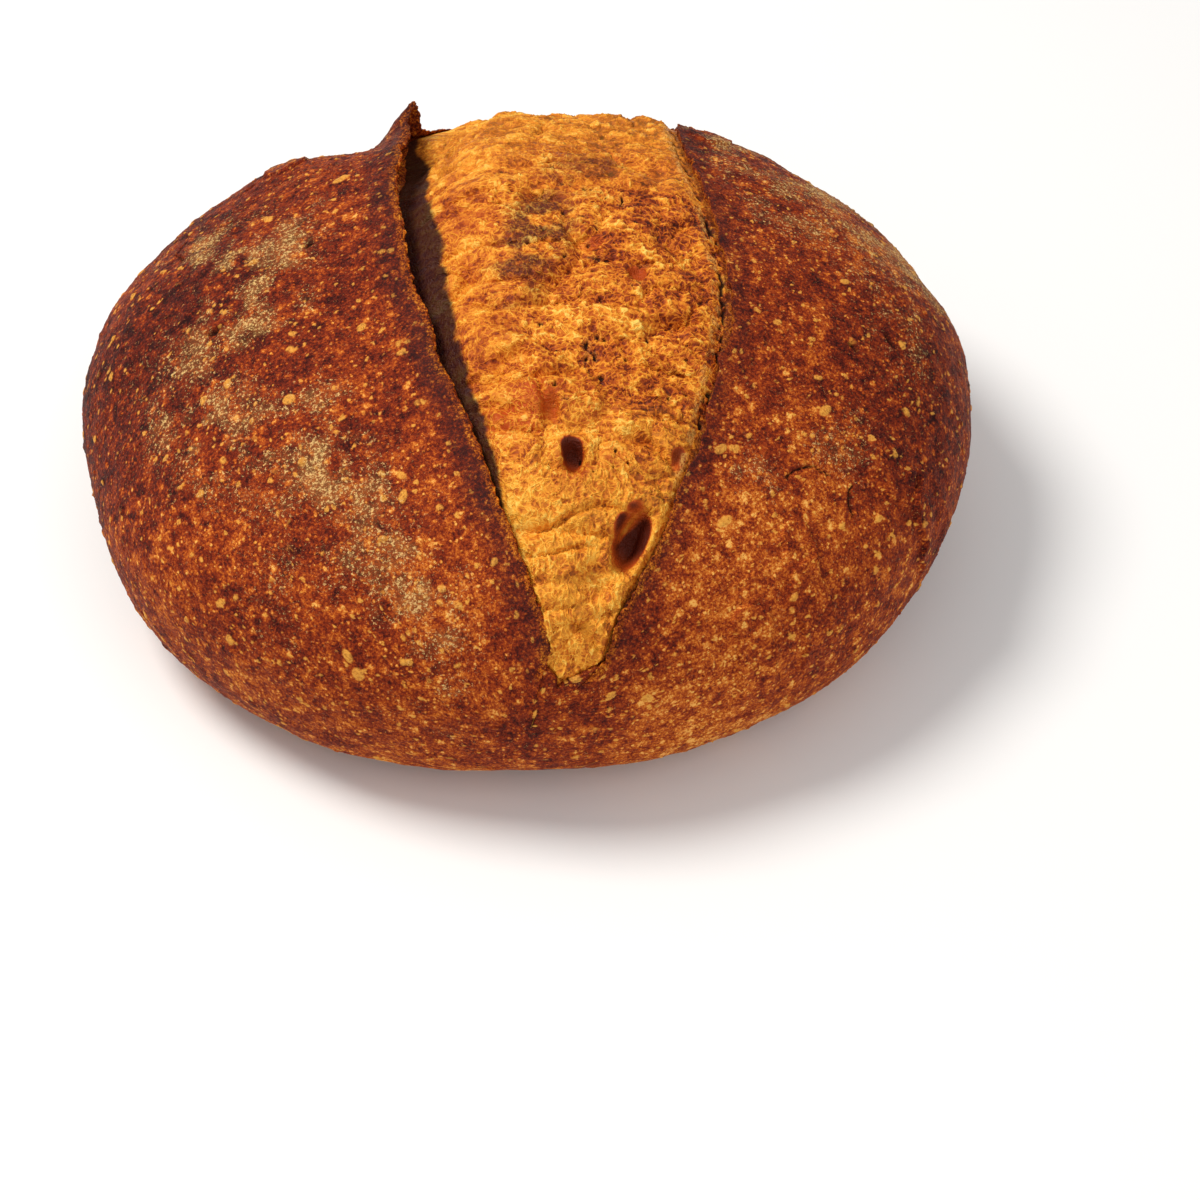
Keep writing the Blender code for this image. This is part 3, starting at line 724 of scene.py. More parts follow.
class Bench:
    """Adds nodes to one tree."""

    def __init__(self, tree):
        self.tree = tree

    def add(self, kind, settings=None, inputs=(), out=0):
        """A node of this kind. Settings come first, then its inputs by place or by name."""
        node = self.tree.nodes.new(kind)
        for name, value in (settings or {}).items():
            setattr(node, name, value)
        for key, value in inputs.items() if isinstance(inputs, dict) else enumerate(inputs):
            if isinstance(value, Quantity):
                self.tree.links.new(value.socket, node.inputs[key])
            else:
                node.inputs[key].default_value = value
        return Quantity(self, node.outputs[out])

    def number(self, value):
        """A constant as a Quantity."""
        return self.add("ShaderNodeMath", {"operation": "ADD"}, (value, 0.0))

    def noise(self, place, size, detail=2, roughness=0.5):
        """Noise from about 0.2 to 0.8 whose blobs are of this size."""
        inputs = {"Vector": place, "Scale": 1 / size, "Detail": detail, "Roughness": roughness}
        return self.add("ShaderNodeTexNoise", {}, inputs)

    def cells(self, place, size, feature="F1", spread=1.0):
        """Voronoi cells of this size: the distance to the nearest point, or to the nearest wall."""
        inputs = {"Vector": place, "Scale": 1 / size, "Randomness": spread}
        return self.add("ShaderNodeTexVoronoi", {"feature": feature}, inputs)

    def part(self, vector, axis):
        """One part of a vector or a colour, as a number."""
        return self.add("ShaderNodeSeparateXYZ", {}, (vector,), axis)

    def move(self, operation, *vectors):
        """Vector maths."""
        return self.add("ShaderNodeVectorMath", {"operation": operation}, vectors)


# %% [markdown]
# ## Relief by Geometry Nodes
#
# Blisters follow a rule: a gas bubble under the skin swells into a low dome, and there are thousands.
# They could be modelled one by one, but a cell pattern places them all at once. The tree below moves
# each point outwards and keeps a note of where the blisters are for the colours.

# %% Set up a relief tree


def relief_tree(name, sizes):
    """A tree that takes a mesh and named sizes. Returns its bench, the mesh and the sizes as Quantities."""
    tree = bpy.data.node_groups.new(name, "GeometryNodeTree")
    tree.interface.new_socket("Mesh", in_out="INPUT", socket_type="NodeSocketGeometry")
    for label in sizes:
        tree.interface.new_socket(label, in_out="INPUT", socket_type="NodeSocketFloat")
    tree.interface.new_socket("Mesh", in_out="OUTPUT", socket_type="NodeSocketGeometry")
    bench = Bench(tree)
    entry = tree.nodes.new("NodeGroupInput")
    return bench, Quantity(bench, entry.outputs["Mesh"]), [Quantity(bench, entry.outputs[s]) for s in sizes]


def attribute(bench, name):
    """A number kept at each point of the mesh."""
    return bench.add("GeometryNodeInputNamedAttribute", {"data_type": "FLOAT"}, {"Name": name})


def spread(bench, place, size, reach):
    """A random shift of up to about this reach, which changes over this size."""
    inputs = {"Vector": place, "Scale": 1 / size, "Detail": 2.0}
    random_way = bench.add("ShaderNodeTexNoise", {}, inputs, 1)
    return bench.move("MULTIPLY", bench.move("SUBTRACT", random_way, (0.5, 0.5, 0.5)), (reach, reach, reach))


def keep(bench, mesh, name, value):
    """Keeps a number at each point of the mesh under this name."""
    settings = {"data_type": "FLOAT", "domain": "POINT"}
    inputs = {"Geometry": mesh, "Name": name, "Value": value}
    return bench.add("GeometryNodeStoreNamedAttribute", settings, inputs)


def raise_skin(bench, mesh, height):
    """Moves each point along its normal by this height."""
    normal = bench.add("GeometryNodeInputNormal")
    offset = bench.add("ShaderNodeVectorMath", {"operation": "SCALE"}, {0: normal, "Scale": height})
    return bench.add("GeometryNodeSetPosition", {}, {"Geometry": mesh, "Offset": offset})


def close_tree(bench, mesh, material):
    """Ends the tree: copies made real, and the material set."""
    real = bench.add("GeometryNodeRealizeInstances", {}, (mesh,))
    dressed = bench.add("GeometryNodeSetMaterial", {}, {"Geometry": real, "Material": material})
    exit_node = bench.tree.nodes.new("NodeGroupOutput")
    bench.tree.links.new(dressed.socket, exit_node.inputs["Mesh"])


def run_tree(mesh, bench, sizes):
    """The mesh after the tree, with each size given by its name."""
    carrier = bpy.data.objects.new("carrier", mesh)
    bpy.context.scene.collection.objects.link(carrier)
    modifier = carrier.modifiers.new("relief", "NODES")
    modifier.node_group = bench.tree
    for item in bench.tree.interface.items_tree:
        if item.in_out == "INPUT" and item.name in sizes:
            modifier[item.identifier] = sizes[item.name]
    graph = bpy.context.evaluated_depsgraph_get()
    finished = carrier.evaluated_get(graph)
    shaped = bpy.data.meshes.new_from_object(finished, preserve_all_data_layers=True, depsgraph=graph)
    bpy.data.objects.remove(carrier)
    return shaped


# %% Relief of the crust
CRUST_SIZES = {"Blister height": 0.00045, "Grain height": 0.00017}
NO_RADIUS = 0.0001  # added to a radius, so that nothing is divided by zero
crust_look = bpy.data.materials.new("browned crust")
crumb_look = bpy.data.materials.new("torn crumb")


def domes(bench, place, size, rarest, largest, soft=0.6):
    """(dome, random colour of its cell) of blisters, in the share of the cells over the rarest value."""
    cell = bench.cells(place, size)
    colour = cell.sibling("Color")
    radius = bench.part(colour, 0).ramp(rarest, 1.0, 0.0, largest) + NO_RADIUS
    return (1 - cell / radius).ramp(0, soft), colour


def crust_relief():
    """The tree that raises blisters and grain on the crust, and layers on its torn fringe."""
    bench, mesh, (tall, grain) = relief_tree("crust relief", CRUST_SIZES)
    place = bench.add("GeometryNodeInputPosition")
    skin, bubble = attribute(bench, "skin"), attribute(bench, "bubble")
    bent = bench.move("ADD", place, spread(bench, place, 0.0040, 0.0040))
    bent = bench.move("ADD", bent, spread(bench, place, 0.0012, 0.0012))
    big, big_colour = domes(bench, bent, 0.0050, 0.35, 0.36)
    small, small_colour = domes(bench, bent, 0.0022, 0.15, 0.46)
    big_glow, small_glow = (
        bench.part(colour, 1).ramp(0.0, 1.0, 0.15, 1.0) for colour in (big_colour, small_colour)
    )
    rough = bench.noise(place, 0.0016, 2, 0.6) - 0.5
    wave = bench.noise(place, 0.006, 2, 0.5) - 0.5
    height = ((big + small * 0.5) * tall + rough * grain * 2.6 + wave * 0.0011) * skin
    layers = bench.noise(bench.move("MULTIPLY", place, (1.0, 0.25, 1.0)), 0.0007, 2.0, 0.6) - 0.5
    height = height + layers * attribute(bench, "torn") * 0.0022
    glow = (big * big_glow).maths("MAXIMUM", small * small_glow * 0.9).maths("MAXIMUM", bubble)
    mesh = keep(bench, mesh, "blister", glow * skin)
    mesh = keep(bench, mesh, "patch", bench.noise(place, 0.0042, 4.0, 0.68))
    close_tree(bench, raise_skin(bench, mesh, height), crust_look)
    return bench


def grid_faces(rows, width):
    """Corner numbers, as lists, of the faces between neighbouring rows of a grid, facing out."""
    corner = np.arange(rows * width).reshape(rows, width)
    sides = (corner[:-1, :-1], corner[:-1, 1:], corner[1:, 1:], corner[1:, :-1])
    return np.stack(sides, -1).reshape(-1, 4).tolist()


def mesh_of(name, points, faces, looks):
    """A smooth mesh of these points and faces that keeps the looks at its points."""
    mesh = bpy.data.meshes.new(name)
    mesh.from_pydata(points.tolist(), [], faces)
    for label, value in looks.items():
        layer = mesh.attributes.new(label, "FLOAT", "POINT")
        layer.data.foreach_set("value", np.asarray(value, np.float32))
    mesh.shade_smooth()
    return mesh


def read_points(mesh, kind):
    """The places, or the normals, of a mesh's points."""
    found = np.empty(len(mesh.vertices) * 3, np.float32)
    mesh.vertices.foreach_get(kind, found)
    return found.reshape(-1, 3).astype(float)


def read_look(mesh, name):
    """A look that a mesh keeps at its points."""
    found = np.empty(len(mesh.vertices), np.float32)
    mesh.attributes[name].data.foreach_get("value", found)
    return found


crust_plain = mesh_of("crust_plain", flat, grid_faces(*crust.shape[:2]), looks)
crust_shaped = run_tree(crust_plain, crust_relief(), CRUST_SIZES)
for name in ("blister", "patch"):
    looks[name] = read_look(crust_shaped, name)
print("mean of the blister look", round(float(looks["blister"].mean()), 3))

# %% [markdown]
# ## Closed pieces from one skin
#
# A mesh with too many faces is slow to handle, so the skin is carved into four closed pieces. They
# share the places and the normals of the points along each cut, so no seam shows. The inner walls
# are hidden.

# %% Carve a skin
POLE_BULGE = 0.0004
HIDDEN_SPOT = 0.004  # the corner of the flat map that hidden faces share


def carve(name, skin, rows, cols, pole, material):
    """A closed piece of a skin: a patch of its grid, hidden walls, and a fan to the loaf's pole, if any."""
    places, normals = skin["places"][rows, cols], skin["normals"][rows, cols]
    count, width = places.shape[:2]
    numbers = np.arange(count * width).reshape(count, width)
    points, directions = places.reshape(-1, 3), normals.reshape(-1, 3)
    wanted = {label: value[rows, cols] for label, value in skin["looks"].items()}
    faces = grid_faces(count, width)
    near, far = numbers[:, 0].tolist(), numbers[:, -1].tolist()
    shown = len(faces)
    if pole:
        end = 0 if pole < 0 else -1
        tip = skin["places"][end].mean(0) + np.array([0, pole * POLE_BULGE, 0])
        last = len(points)
        points = np.concatenate([points, tip[None]])
        directions = np.concatenate([directions, [[0, pole, 0]]])
        edge = numbers[end].tolist()
        faces += [(last, b, a)[::-pole] for a, b in zip(edge, edge[1:])]
        shown = len(faces)
        faces.append((last, near[end], far[end])[::-pole])
        wanted = {label: np.append(value, value[end].mean()) for label, value in wanted.items()}
    faces += [(near[i], near[i + 1], far[i + 1], far[i]) for i in range(count - 1)]
    if pole <= 0:
        faces.append(numbers[-1].tolist())
    if pole >= 0:
        faces.append(numbers[0].tolist()[::-1])
    mesh = mesh_of(name, points + recentre, faces, {label: value.ravel() for label, value in wanted.items()})
    lay_out(mesh, count, width, shown)
    mesh.normals_split_custom_set_from_vertices(directions.tolist())
    return show(name, mesh, material)


def lay_out(mesh, count, width, shown):
    """A flat map: the grid fills it, and hidden faces share a corner."""
    down, along = np.meshgrid(np.linspace(0, 1, count), np.linspace(0, 1, width), indexing="ij")
    spots = np.stack([along.ravel(), down.ravel()], -1) * (1 - 2 * HIDDEN_SPOT) + HIDDEN_SPOT
    spots = np.concatenate([spots, [[0.5, HIDDEN_SPOT / 2]]])
    corner = np.empty(len(mesh.loops), np.int32)
    mesh.loops.foreach_get("vertex_index", corner)
    chart = spots[corner]
    first_hidden = mesh.polygons[shown].loop_start
    chart[first_hidden:] *= HIDDEN_SPOT
    mesh.uv_layers.new(name="OFBake").uv.foreach_set("vector", chart.astype(np.float32).ravel())


def show(name, mesh, material):
    """Puts a finished mesh in the scene as a piece that stands for the plain loaf."""
    piece = bpy.data.objects.new(name, mesh)
    bpy.context.scene.collection.objects.link(piece)
    mesh.materials.clear()
    mesh.materials.append(material)
    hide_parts("loaf")
    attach(piece, "root")
    sides = sum(len(p.vertices) - 2 for p in mesh.polygons)
    print(name, "has", sides, "triangles")
    return piece


def skin_of(mesh, grid, looks):
    """The places, normals and looks of a shaped grid, back in rows and columns."""
    return {
        "places": read_points(mesh, "co").reshape(grid.shape),
        "normals": read_points(mesh, "normal").reshape(grid.shape),
        "looks": {name: np.asarray(value).reshape(grid.shape[:2]) for name, value in looks.items()},
    }


# %% Carve the crust
crust_skin = skin_of(crust_shaped, crust, looks)
crust_skin["places"][..., 2] = np.maximum(crust_skin["places"][..., 2], 0)
halfway = len(stations) // 2
trench_middle = columns["trench"].start + TRENCH_STRIPS // 2
front, back = slice(0, halfway + 1), slice(halfway, None)
left_half, right_half = slice(0, trench_middle + 1), slice(trench_middle, None)
for name, rows, cols, pole in (
    ("crust_front_left", front, left_half, -1),
    ("crust_front_right", front, right_half, -1),
    ("crust_back_left", back, left_half, 1),
    ("crust_back_right", back, right_half, 1),
):
    carve(name, crust_skin, rows, cols, pole, crust_look)

# %% [markdown]
# ## The torn crumb
#
# Torn bread is a sponge of thin walls. Seen closely it has three kinds of relief: strands drawn out
# in the direction of the tear, small open cells, and a fine grain. The direction changes along the
# slash, so the tree works in the crumb's own coordinates, across and along.

# %% Grid of the crumb
ARC_SHARE = 0.95  # the arc over the crumb is shorter than that of a circle as wide as the loaf
first_station, last_station = math.radians(SLASH_FRONT + 1), math.radians(SLASH_BACK - 1)
dense = np.linspace(first_station, last_station, DENSE)
crumb_lengths = lengths_along(plain_skin(dense, math.pi + 0 * dense))
crumb_rows = round(crumb_lengths[-1] / (CRUMB_STEP * coarser))
crumb_stations = np.interp(np.linspace(0, crumb_lengths[-1], crumb_rows), crumb_lengths, dense)[:, None]
crumb_width = WIDTH / 2 * (middle_far - middle_ear)[0] * ARC_SHARE
crumb_cols = round(crumb_width / (CRUMB_STEP * coarser))
crumb_shares = np.pad(np.linspace(-CRUMB_TUCK, 1 + CRUMB_TUCK, crumb_cols), 1, "edge")[None, :]
crumb = crumb_point(crumb_stations, crumb_shares)
crumb[:, [0, -1]] -= outward(crumb[:, [0, -1]]) * CRUMB_SKIRT
print("crumb grid", crumb.shape, "over", round(float(crumb_lengths[-1]) * 1000), "mm")

# %% Regions of the crumb
# Holes and blobs strewn over the crumb, by kind: count, stations, shares across, radius, stretch.
STREWN = {
    "pore": ((30, (-40, 40), (0.45, 0.93), (0.0004, 0.0008), (0.8, 1.5)),
             (14, (-38, 30), (0.30, 0.60), (0.0005, 0.0010), (0.8, 1.5))),
    "slit": ((46, (8, 62), (0.12, 0.80), (0.0004, 0.0007), (0.22, 0.40)),
             (30, (-30, 20), (0.25, 0.85), (0.0004, 0.0008), (0.4, 2.6))),
    "blob": ((60, (-30, 44), (0.60, 0.93), (0.0008, 0.0018), (0.8, 1.5)),
             (30, (-44, 50), (0.25, 0.60), (0.0006, 0.0012), (0.8, 1.5))),
}
PORE_BAND, RIM_BAND = (0.962, 0.975, 0.990, 0.998), (0.930, 0.948, 0.968, 0.980)
PORE_STATIONS = (-44, -38, 50, 60)
SEED = 7
STREW_REACH = 0.006  # half the side of the patch in which an oval is drawn
WIDEST, SHORTEST = 0.45, 0.6
STREW_STRAY, STREW_EDGE, RING_AT, RING_WIDTH = (0.35, 0.0016, 51), (0.6, 1.1), 1.35, 0.3
PORE_DEPTH, SLIT_DEPTH, BLOB_HEIGHT = 0.0011, 0.0009, 0.0004

# How the looks of the crumb stray: amount, size and seed of each layer of noise.
STRAYS = {
    "pore band": ((0.006, 0.004, 87),),
    "pores": ((1, (0.0012, 0.0019, 0.0012), 88), (0.5, 0.008, 89)),
    "rim band": ((0.010, 0.003, 90),),
    "rims": ((1, 0.0016, 91), (0.4, 0.010, 92)),
    "gap": ((0.010, 0.006, 86), (0.007, 0.002, 95)),
    "sunny": ((0.05, 0.007, 81),),
    "low end": ((10, 0.012, 82),),
    "red side": ((0.12, 0.010, 83),),
    "streaks": ((1, (0.009, 0.004, 0.005), 84), (0.6, 0.0022, 94)),
    "far back": ((8, 0.012, 93),),
    "mood": ((0.7, 0.013, 96), (0.6, 0.0055, 97)),
}
# Where each look sets in or ends: levels of noise, shares of the slash's width, or stations in degrees.
PORE_LEVELS, RIM_LEVELS, SLIT_RIM = (0.10, 0.32), (-0.15, 0.2), 0.4
SUNNY_SHARES, SUNNY_STATIONS, SUNNY_LOSS, SUNNY_LOSS_STATIONS = (0.22, 0.36), (-45, -25), 0.6, (30, 50)
LOW_STATIONS, BACK_STATIONS, RED_SHARES = (-48, -24), (8, 34), (0.50, 0.80)
TORN_SHARES, BRINK_SHARES, GAP_SHADOW_SOFT = (*CRUMB_EDGES[:2], 0.93, 0.985), (0.984, 0.998), (-0.016, 0.004)
# Scorched ovals: x, how x changes along y, y, half-width, half-length, amount.
BURNS = ((0.0062, 0.30, 0.006, 0.0080, 0.028, 1), (0.0266, 0, 0.0415, 0.008, 0.0030, 0.4))
BURN_LEVEL, BURN_STREAKS, BURN_AMOUNT = 0.52, 0.9, 2.1
# Share of the slash's width covered by the painted shadow that the ear casts into the gap: pairs of a station
# and hundredths.
GAP_SHADE = (
    (-90, 0), (-56, 0), (-48, 5), (-40, 12), (-30, 12.6), (-20, 12.2), (-11, 13.3), (-3, 14.3), (9, 14.6),
    (20, 12.8), (36, 12), (50, 9), (58, 3), (64, 0), (90, 0),
)
# Red, smooth membranes: x, y, radius, amount.
RED_SPOTS = ((-0.0010, -0.0605, 0.0070, 1.0), (0.0065, -0.0543, 0.0055, 0.9), (0.0154, -0.0760, 0.0045, 0.8),
             (0.0200, -0.0570, 0.0055, 0.5), (0.0260, -0.0700, 0.0050, 0.5), (-0.0100, 0.0120, 0.0070, 0.4))

share_all = np.broadcast_to(crumb_shares, crumb.shape[:2])
degrees_all = np.broadcast_to(np.degrees(crumb_stations), crumb.shape[:2])
spots = crumb.reshape(-1, 3)
to_across = np.cumsum(np.linalg.norm(np.diff(crumb, axis=1, prepend=crumb[:, :1]), axis=-1), 1)
to_across = to_across - to_across[:, crumb.shape[1] // 2, None]
to_along = np.broadcast_to(np.linspace(0, crumb_lengths[-1], crumb_rows)[:, None], crumb.shape[:2])


def strew(kinds, picker):
    """(cover, rim) of ovals strewn over the crumb: 1 inside each, and 1 on the ring round it."""
    cover, rim = np.zeros(crumb.shape[:2]), np.zeros(crumb.shape[:2])
    span = round(STREW_REACH / (CRUMB_STEP * coarser))
    for count, degrees, shares, radii, stretches in kinds:
        for _ in range(count):
            row = int(np.argmin(np.abs(np.degrees(crumb_stations[:, 0]) - picker.uniform(*degrees))))
            col = int(np.argmin(np.abs(crumb_shares[0] - picker.uniform(*shares))))
            radius, stretch = picker.uniform(*radii), picker.uniform(*stretches)
            rows = slice(max(row - span, 0), row + span)
            cols = slice(max(col - span, 0), col + span)
            near = crumb[rows, cols] - crumb[row, col]
            wide = 1 / max(stretch, WIDEST) if stretch < 1 else 1
            across_it, along_it = near[..., 0] / wide, near[..., 1] / max(stretch, SHORTEST)
            away = np.sqrt(across_it**2 + along_it**2 + near[..., 2] ** 2) / radius
            away = mottled(crumb[rows, cols], away, STREW_STRAY)
            cover[rows, cols] = np.maximum(cover[rows, cols], 1 - ramp(away, *STREW_EDGE))
            ring = np.exp(-(((away - RING_AT) / RING_WIDTH) ** 2))
            rim[rows, cols] = np.maximum(rim[rows, cols], ring)
    return cover, rim * (1 - cover)


def strayed(name, level=0):
    """A level over the crumb that strays by the layers of noise under this name."""
    return mottled(crumb, level, *STRAYS[name])


picker = np.random.default_rng(SEED)
strewn = {name: strew(kinds, picker) for name, kinds in STREWN.items()}
# Painted shade of the pockets, at each point of the crumb.
_, pocket_shade_cover = pockets(crumb)
plain_spots, _ = crumb_slot(crumb_stations, crumb_shares)
opened = mouth(crumb_stations, crumb_shares, plain_spots)
in_band = window(degrees_all, PORE_STATIONS)
holes = window(strayed("pore band", share_all), PORE_BAND) * in_band * ramp(strayed("pores"), *PORE_LEVELS)
rims = window(strayed("rim band", share_all), RIM_BAND) * in_band * ramp(strayed("rims"), *RIM_LEVELS)
shade = strayed("gap", read_curve(GAP_SHADE, degrees_all) / 100)
# The slope of the crumb that faces the lamp; its colours are lightened there as painted light.
sunny = (1 - ramp(strayed("sunny", share_all), *SUNNY_SHARES)) * ramp(degrees_all, *SUNNY_STATIONS)
sunny = sunny * (1 - SUNNY_LOSS * ramp(degrees_all, *SUNNY_LOSS_STATIONS))
low_end = 1 - ramp(strayed("low end", degrees_all), *LOW_STATIONS)
burnt = 0
for x, lean, y, half_width, half_length, amount in BURNS:
    sideways = (crumb[..., 0] - (x + lean * crumb[..., 1])) / half_width
    burnt = burnt + amount * np.exp(-(sideways**2) - ((crumb[..., 1] - y) / half_length) ** 2)
burnt = BURN_AMOUNT * burnt * np.clip(BURN_LEVEL + BURN_STREAKS * strayed("streaks"), 0, 1)
crumb_looks = {
    "across": to_across,
    "along": to_along,
    "rough": window(share_all, TORN_SHARES) * opened,
    "sunny": sunny,
    "low_end": low_end,
    "far_back": ramp(strayed("far back", degrees_all), *BACK_STATIONS),
    "red_side": ramp(strayed("red side", share_all), *RED_SHARES) * (1 - low_end),
    "burnt": np.clip(burnt, 0, 1),
    "mood": strayed("mood"),
    "reds": np.clip(soft_spots(crumb, RED_SPOTS), 0, 1),
    "pocket": pocket_shade_cover * opened,
    # Pores and slits: holes whose darkness is painted shade.
    "pore": np.maximum(np.maximum(strewn["pore"][0], strewn["slit"][0]), holes),
    "rim": np.maximum(rims, SLIT_RIM * strewn["slit"][1]),
    "blob": strewn["blob"][0],
    # The gap look is where the ear's shadow is painted on the crumb.
    "gap": 1 - ramp(share_all, shade + GAP_SHADOW_SOFT[0], shade + GAP_SHADOW_SOFT[1]),
    "brink": ramp(share_all, *BRINK_SHARES),
}
crumb_looks = {name: np.broadcast_to(value, crumb.shape[:2]).ravel() for name, value in crumb_looks.items()}
dug = PORE_DEPTH * np.maximum(strewn["pore"][0], holes) + SLIT_DEPTH * strewn["slit"][0]
dug = dug - BLOB_HEIGHT * strewn["blob"][0]
spots -= outward(spots) * (dug * opened).reshape(-1, 1)

# %% Pattern of the torn crumb
SWIRL_SIZE, SWIRL_REACH, CURL_SIZE, CURL_REACH = 0.011, 0.011, 0.0030, 0.0014


def ridges(bench, place, size, detail, sharp):
    """Thin wandering lines: 1 along each, 0 between them."""
    wave = bench.noise(place, size, detail, 0.55) - 0.5
    return 1 - (wave * sharp).maths("ABSOLUTE").maths("MINIMUM", 1)


# %% Relief of the crumb
CELL_SIZE = 0.0030
CRUMB_SIZES = {"Wall height": 0.00062, "Strand height": 0.00055, "Dimple depth": 0.0012}


def crumb_relief():
    """The tree that raises strands, cells and dimples on the torn crumb."""
    bench, mesh, (wall_tall, strand_tall, dimple) = relief_tree("crumb relief", CRUMB_SIZES)
    side, run, rough = (attribute(bench, name) for name in ("across", "along", "rough"))
    low, far_back, pocket = (attribute(bench, name) for name in ("low_end", "far_back", "pocket"))
    sunny = attribute(bench, "sunny")
    place = bench.add("ShaderNodeCombineXYZ", {}, (side, run))
    swirl = spread(bench, place, SWIRL_SIZE, SWIRL_REACH)
    gentle = bench.move("MULTIPLY_ADD", swirl, (0.4, 0.4, 0.4), place)
    bent = bench.move("ADD", bench.move("ADD", place, swirl), spread(bench, place, CURL_SIZE, CURL_REACH))
    drawn = ridges(bench, bench.move("MULTIPLY", gentle, (0.20, 1.0, 1.0)), 0.0014, 2.0, 11)
    drawn_out = bench.move("MULTIPLY", bent, (0.55, 1.1, 1.0))
    curly = ridges(bench, drawn_out, 0.0030, 1.0, 13)
    curly = curly.maths("MAXIMUM", ridges(bench, drawn_out, 0.0017, 1.0, 10) * 0.7)
    net = ridges(bench, bench.move("MULTIPLY", bent, (1.0, 0.5, 1.0)), 0.0026, 1.0, 17)
    strands = drawn * far_back + curly * (1 - far_back)
    strands = strands * (1 - low) + net * low
    crosswise = bench.move("MULTIPLY", bent, (0.42, 1.1, 1.0))
    lengthwise = bench.move("MULTIPLY", bent, (1.0, 0.5, 1.0))
    stretched = bench.add("ShaderNodeMix", {"data_type": "VECTOR"}, {0: low, 4: crosswise, 5: lengthwise}, 1)
    off = bench.cells(stretched, CELL_SIZE, "DISTANCE_TO_EDGE")
    off = off + bench.noise(place, 0.005, 1.0).ramp(0.50, 0.60, 0.20, 0.0)
    membrane = bench.part(bench.cells(stretched, CELL_SIZE).sibling("Color"), 0)
    tint = bench.noise(stretched, 0.0034, 3.0, 0.55)
    walls = 1 - off.ramp(0.0, 0.14)
    calm = (1 - low * 0.2 - pocket * 0.8 - sunny * 0.35).maths("MAXIMUM", 0.1)
    height = walls * wall_tall + strands * strand_tall + (tint - 0.5) * dimple
    notes = {"strands": strands * calm, "walls": walls * calm, "tint": tint, "membrane": membrane}
    for name, value in notes.items():
        mesh = keep(bench, mesh, name, value)
    close_tree(bench, raise_skin(bench, mesh, height * calm * rough), crumb_look)
    return bench


crumb_plain = mesh_of("crumb_plain", spots, grid_faces(*crumb.shape[:2]), crumb_looks)
crumb_shaped = run_tree(crumb_plain, crumb_relief(), CRUMB_SIZES)
for name in ("strands", "walls", "tint", "membrane"):
    crumb_looks[name] = read_look(crumb_shaped, name)

# %% Carve the crumb
CRUMB_PIECES = 3
crumb_skin = skin_of(crumb_shaped, crumb, crumb_looks)
cuts = np.linspace(0, len(crumb) - 1, CRUMB_PIECES + 1).round().astype(int)
for i in range(CRUMB_PIECES):
    rows = slice(cuts[i], cuts[i + 1] + 1)
    carve(f"torn_crumb_{i + 1}", crumb_skin, rows, slice(None), 0, crumb_look)

# %% [markdown]
# ## Colours
#
# Colours are written as they look on a screen, from 0 to 255, and turned into the linear values that
# a renderer needs.

# %% Colour helpers


def screen(red, green, blue):
    """A colour given as screen values from 0 to 255, as linear light with full opacity."""
    parts = (value / 255 for value in (red, green, blue))
    return (*(((p + 0.055) / 1.055) ** 2.4 if p > 0.04045 else p / 12.92 for p in parts), 1.0)


class Paint(Bench):
    """A bench for a material: colours can be mixed on it."""

    def __init__(self, material):
        material.use_nodes = True
        super().__init__(material.node_tree)
        self.shader = material.node_tree.nodes["Principled BSDF"]
        self.place = self.add("ShaderNodeTexCoord", {}, (), "Object")

    def look(self, name):
        """A number that the mesh keeps at each point."""
        return self.add("ShaderNodeAttribute", {"attribute_name": name}, (), "Fac")

    def mix(self, amount, first, second):
        """The first colour where amount is 0, the second where it is 1."""
        settings = {"data_type": "RGBA", "clamp_factor": True}
        return self.add("ShaderNodeMix", settings, {0: amount, 6: first, 7: second}, 2)

    def scale(self, value, stops):
        """A colour read from a scale: pairs of a value and a screen colour."""
        reader = self.add("ShaderNodeValToRGB", {}, (value,))
        band = reader.socket.node.color_ramp
        while len(band.elements) < len(stops):
            band.elements.new(0.5)
        for mark, (place, colour) in zip(band.elements, stops):
            mark.position, mark.color = place, screen(*colour)
        return reader

    def finish(self, colour, roughness, height, depth, strength, shine):
        """Joins colour, roughness and a bump to the shader. The bump's depth is in metres."""
        inputs = self.shader.inputs
        self.tree.links.new(colour.socket, inputs["Base Color"])
        self.tree.links.new(roughness.socket, inputs["Roughness"])
        bumps = self.add("ShaderNodeBump", {}, {"Strength": strength, "Distance": depth, "Height": height})
        self.tree.links.new(bumps.socket, inputs["Normal"])
        inputs["Specular IOR Level"].default_value = shine


# %% Browned crust
CRUST_SCALE = (
    (0.0, (40, 12, 12)), (0.22, (84, 26, 16)), (0.42, (122, 40, 17)), (0.60, (160, 66, 21)),
    (0.80, (206, 112, 36)), (1.0, (238, 174, 86)),
)
TORN_SCALE = (
    (0.0, (66, 22, 10)), (0.2, (122, 42, 12)), (0.38, (176, 80, 18)), (0.56, (214, 122, 30)),
    (0.74, (238, 158, 48)), (1.0, (250, 202, 96)),
)
SINGED, FLOUR_WHITE, GOLDEN = screen(54, 27, 26), screen(234, 194, 124), screen(222, 156, 64)
# The near-black of the hollows is painted shade.
PALE_FLECK, HOLLOW_SHADE, DUSTED_BROWN = screen(226, 164, 100), screen(34, 14, 10), screen(150, 98, 50)


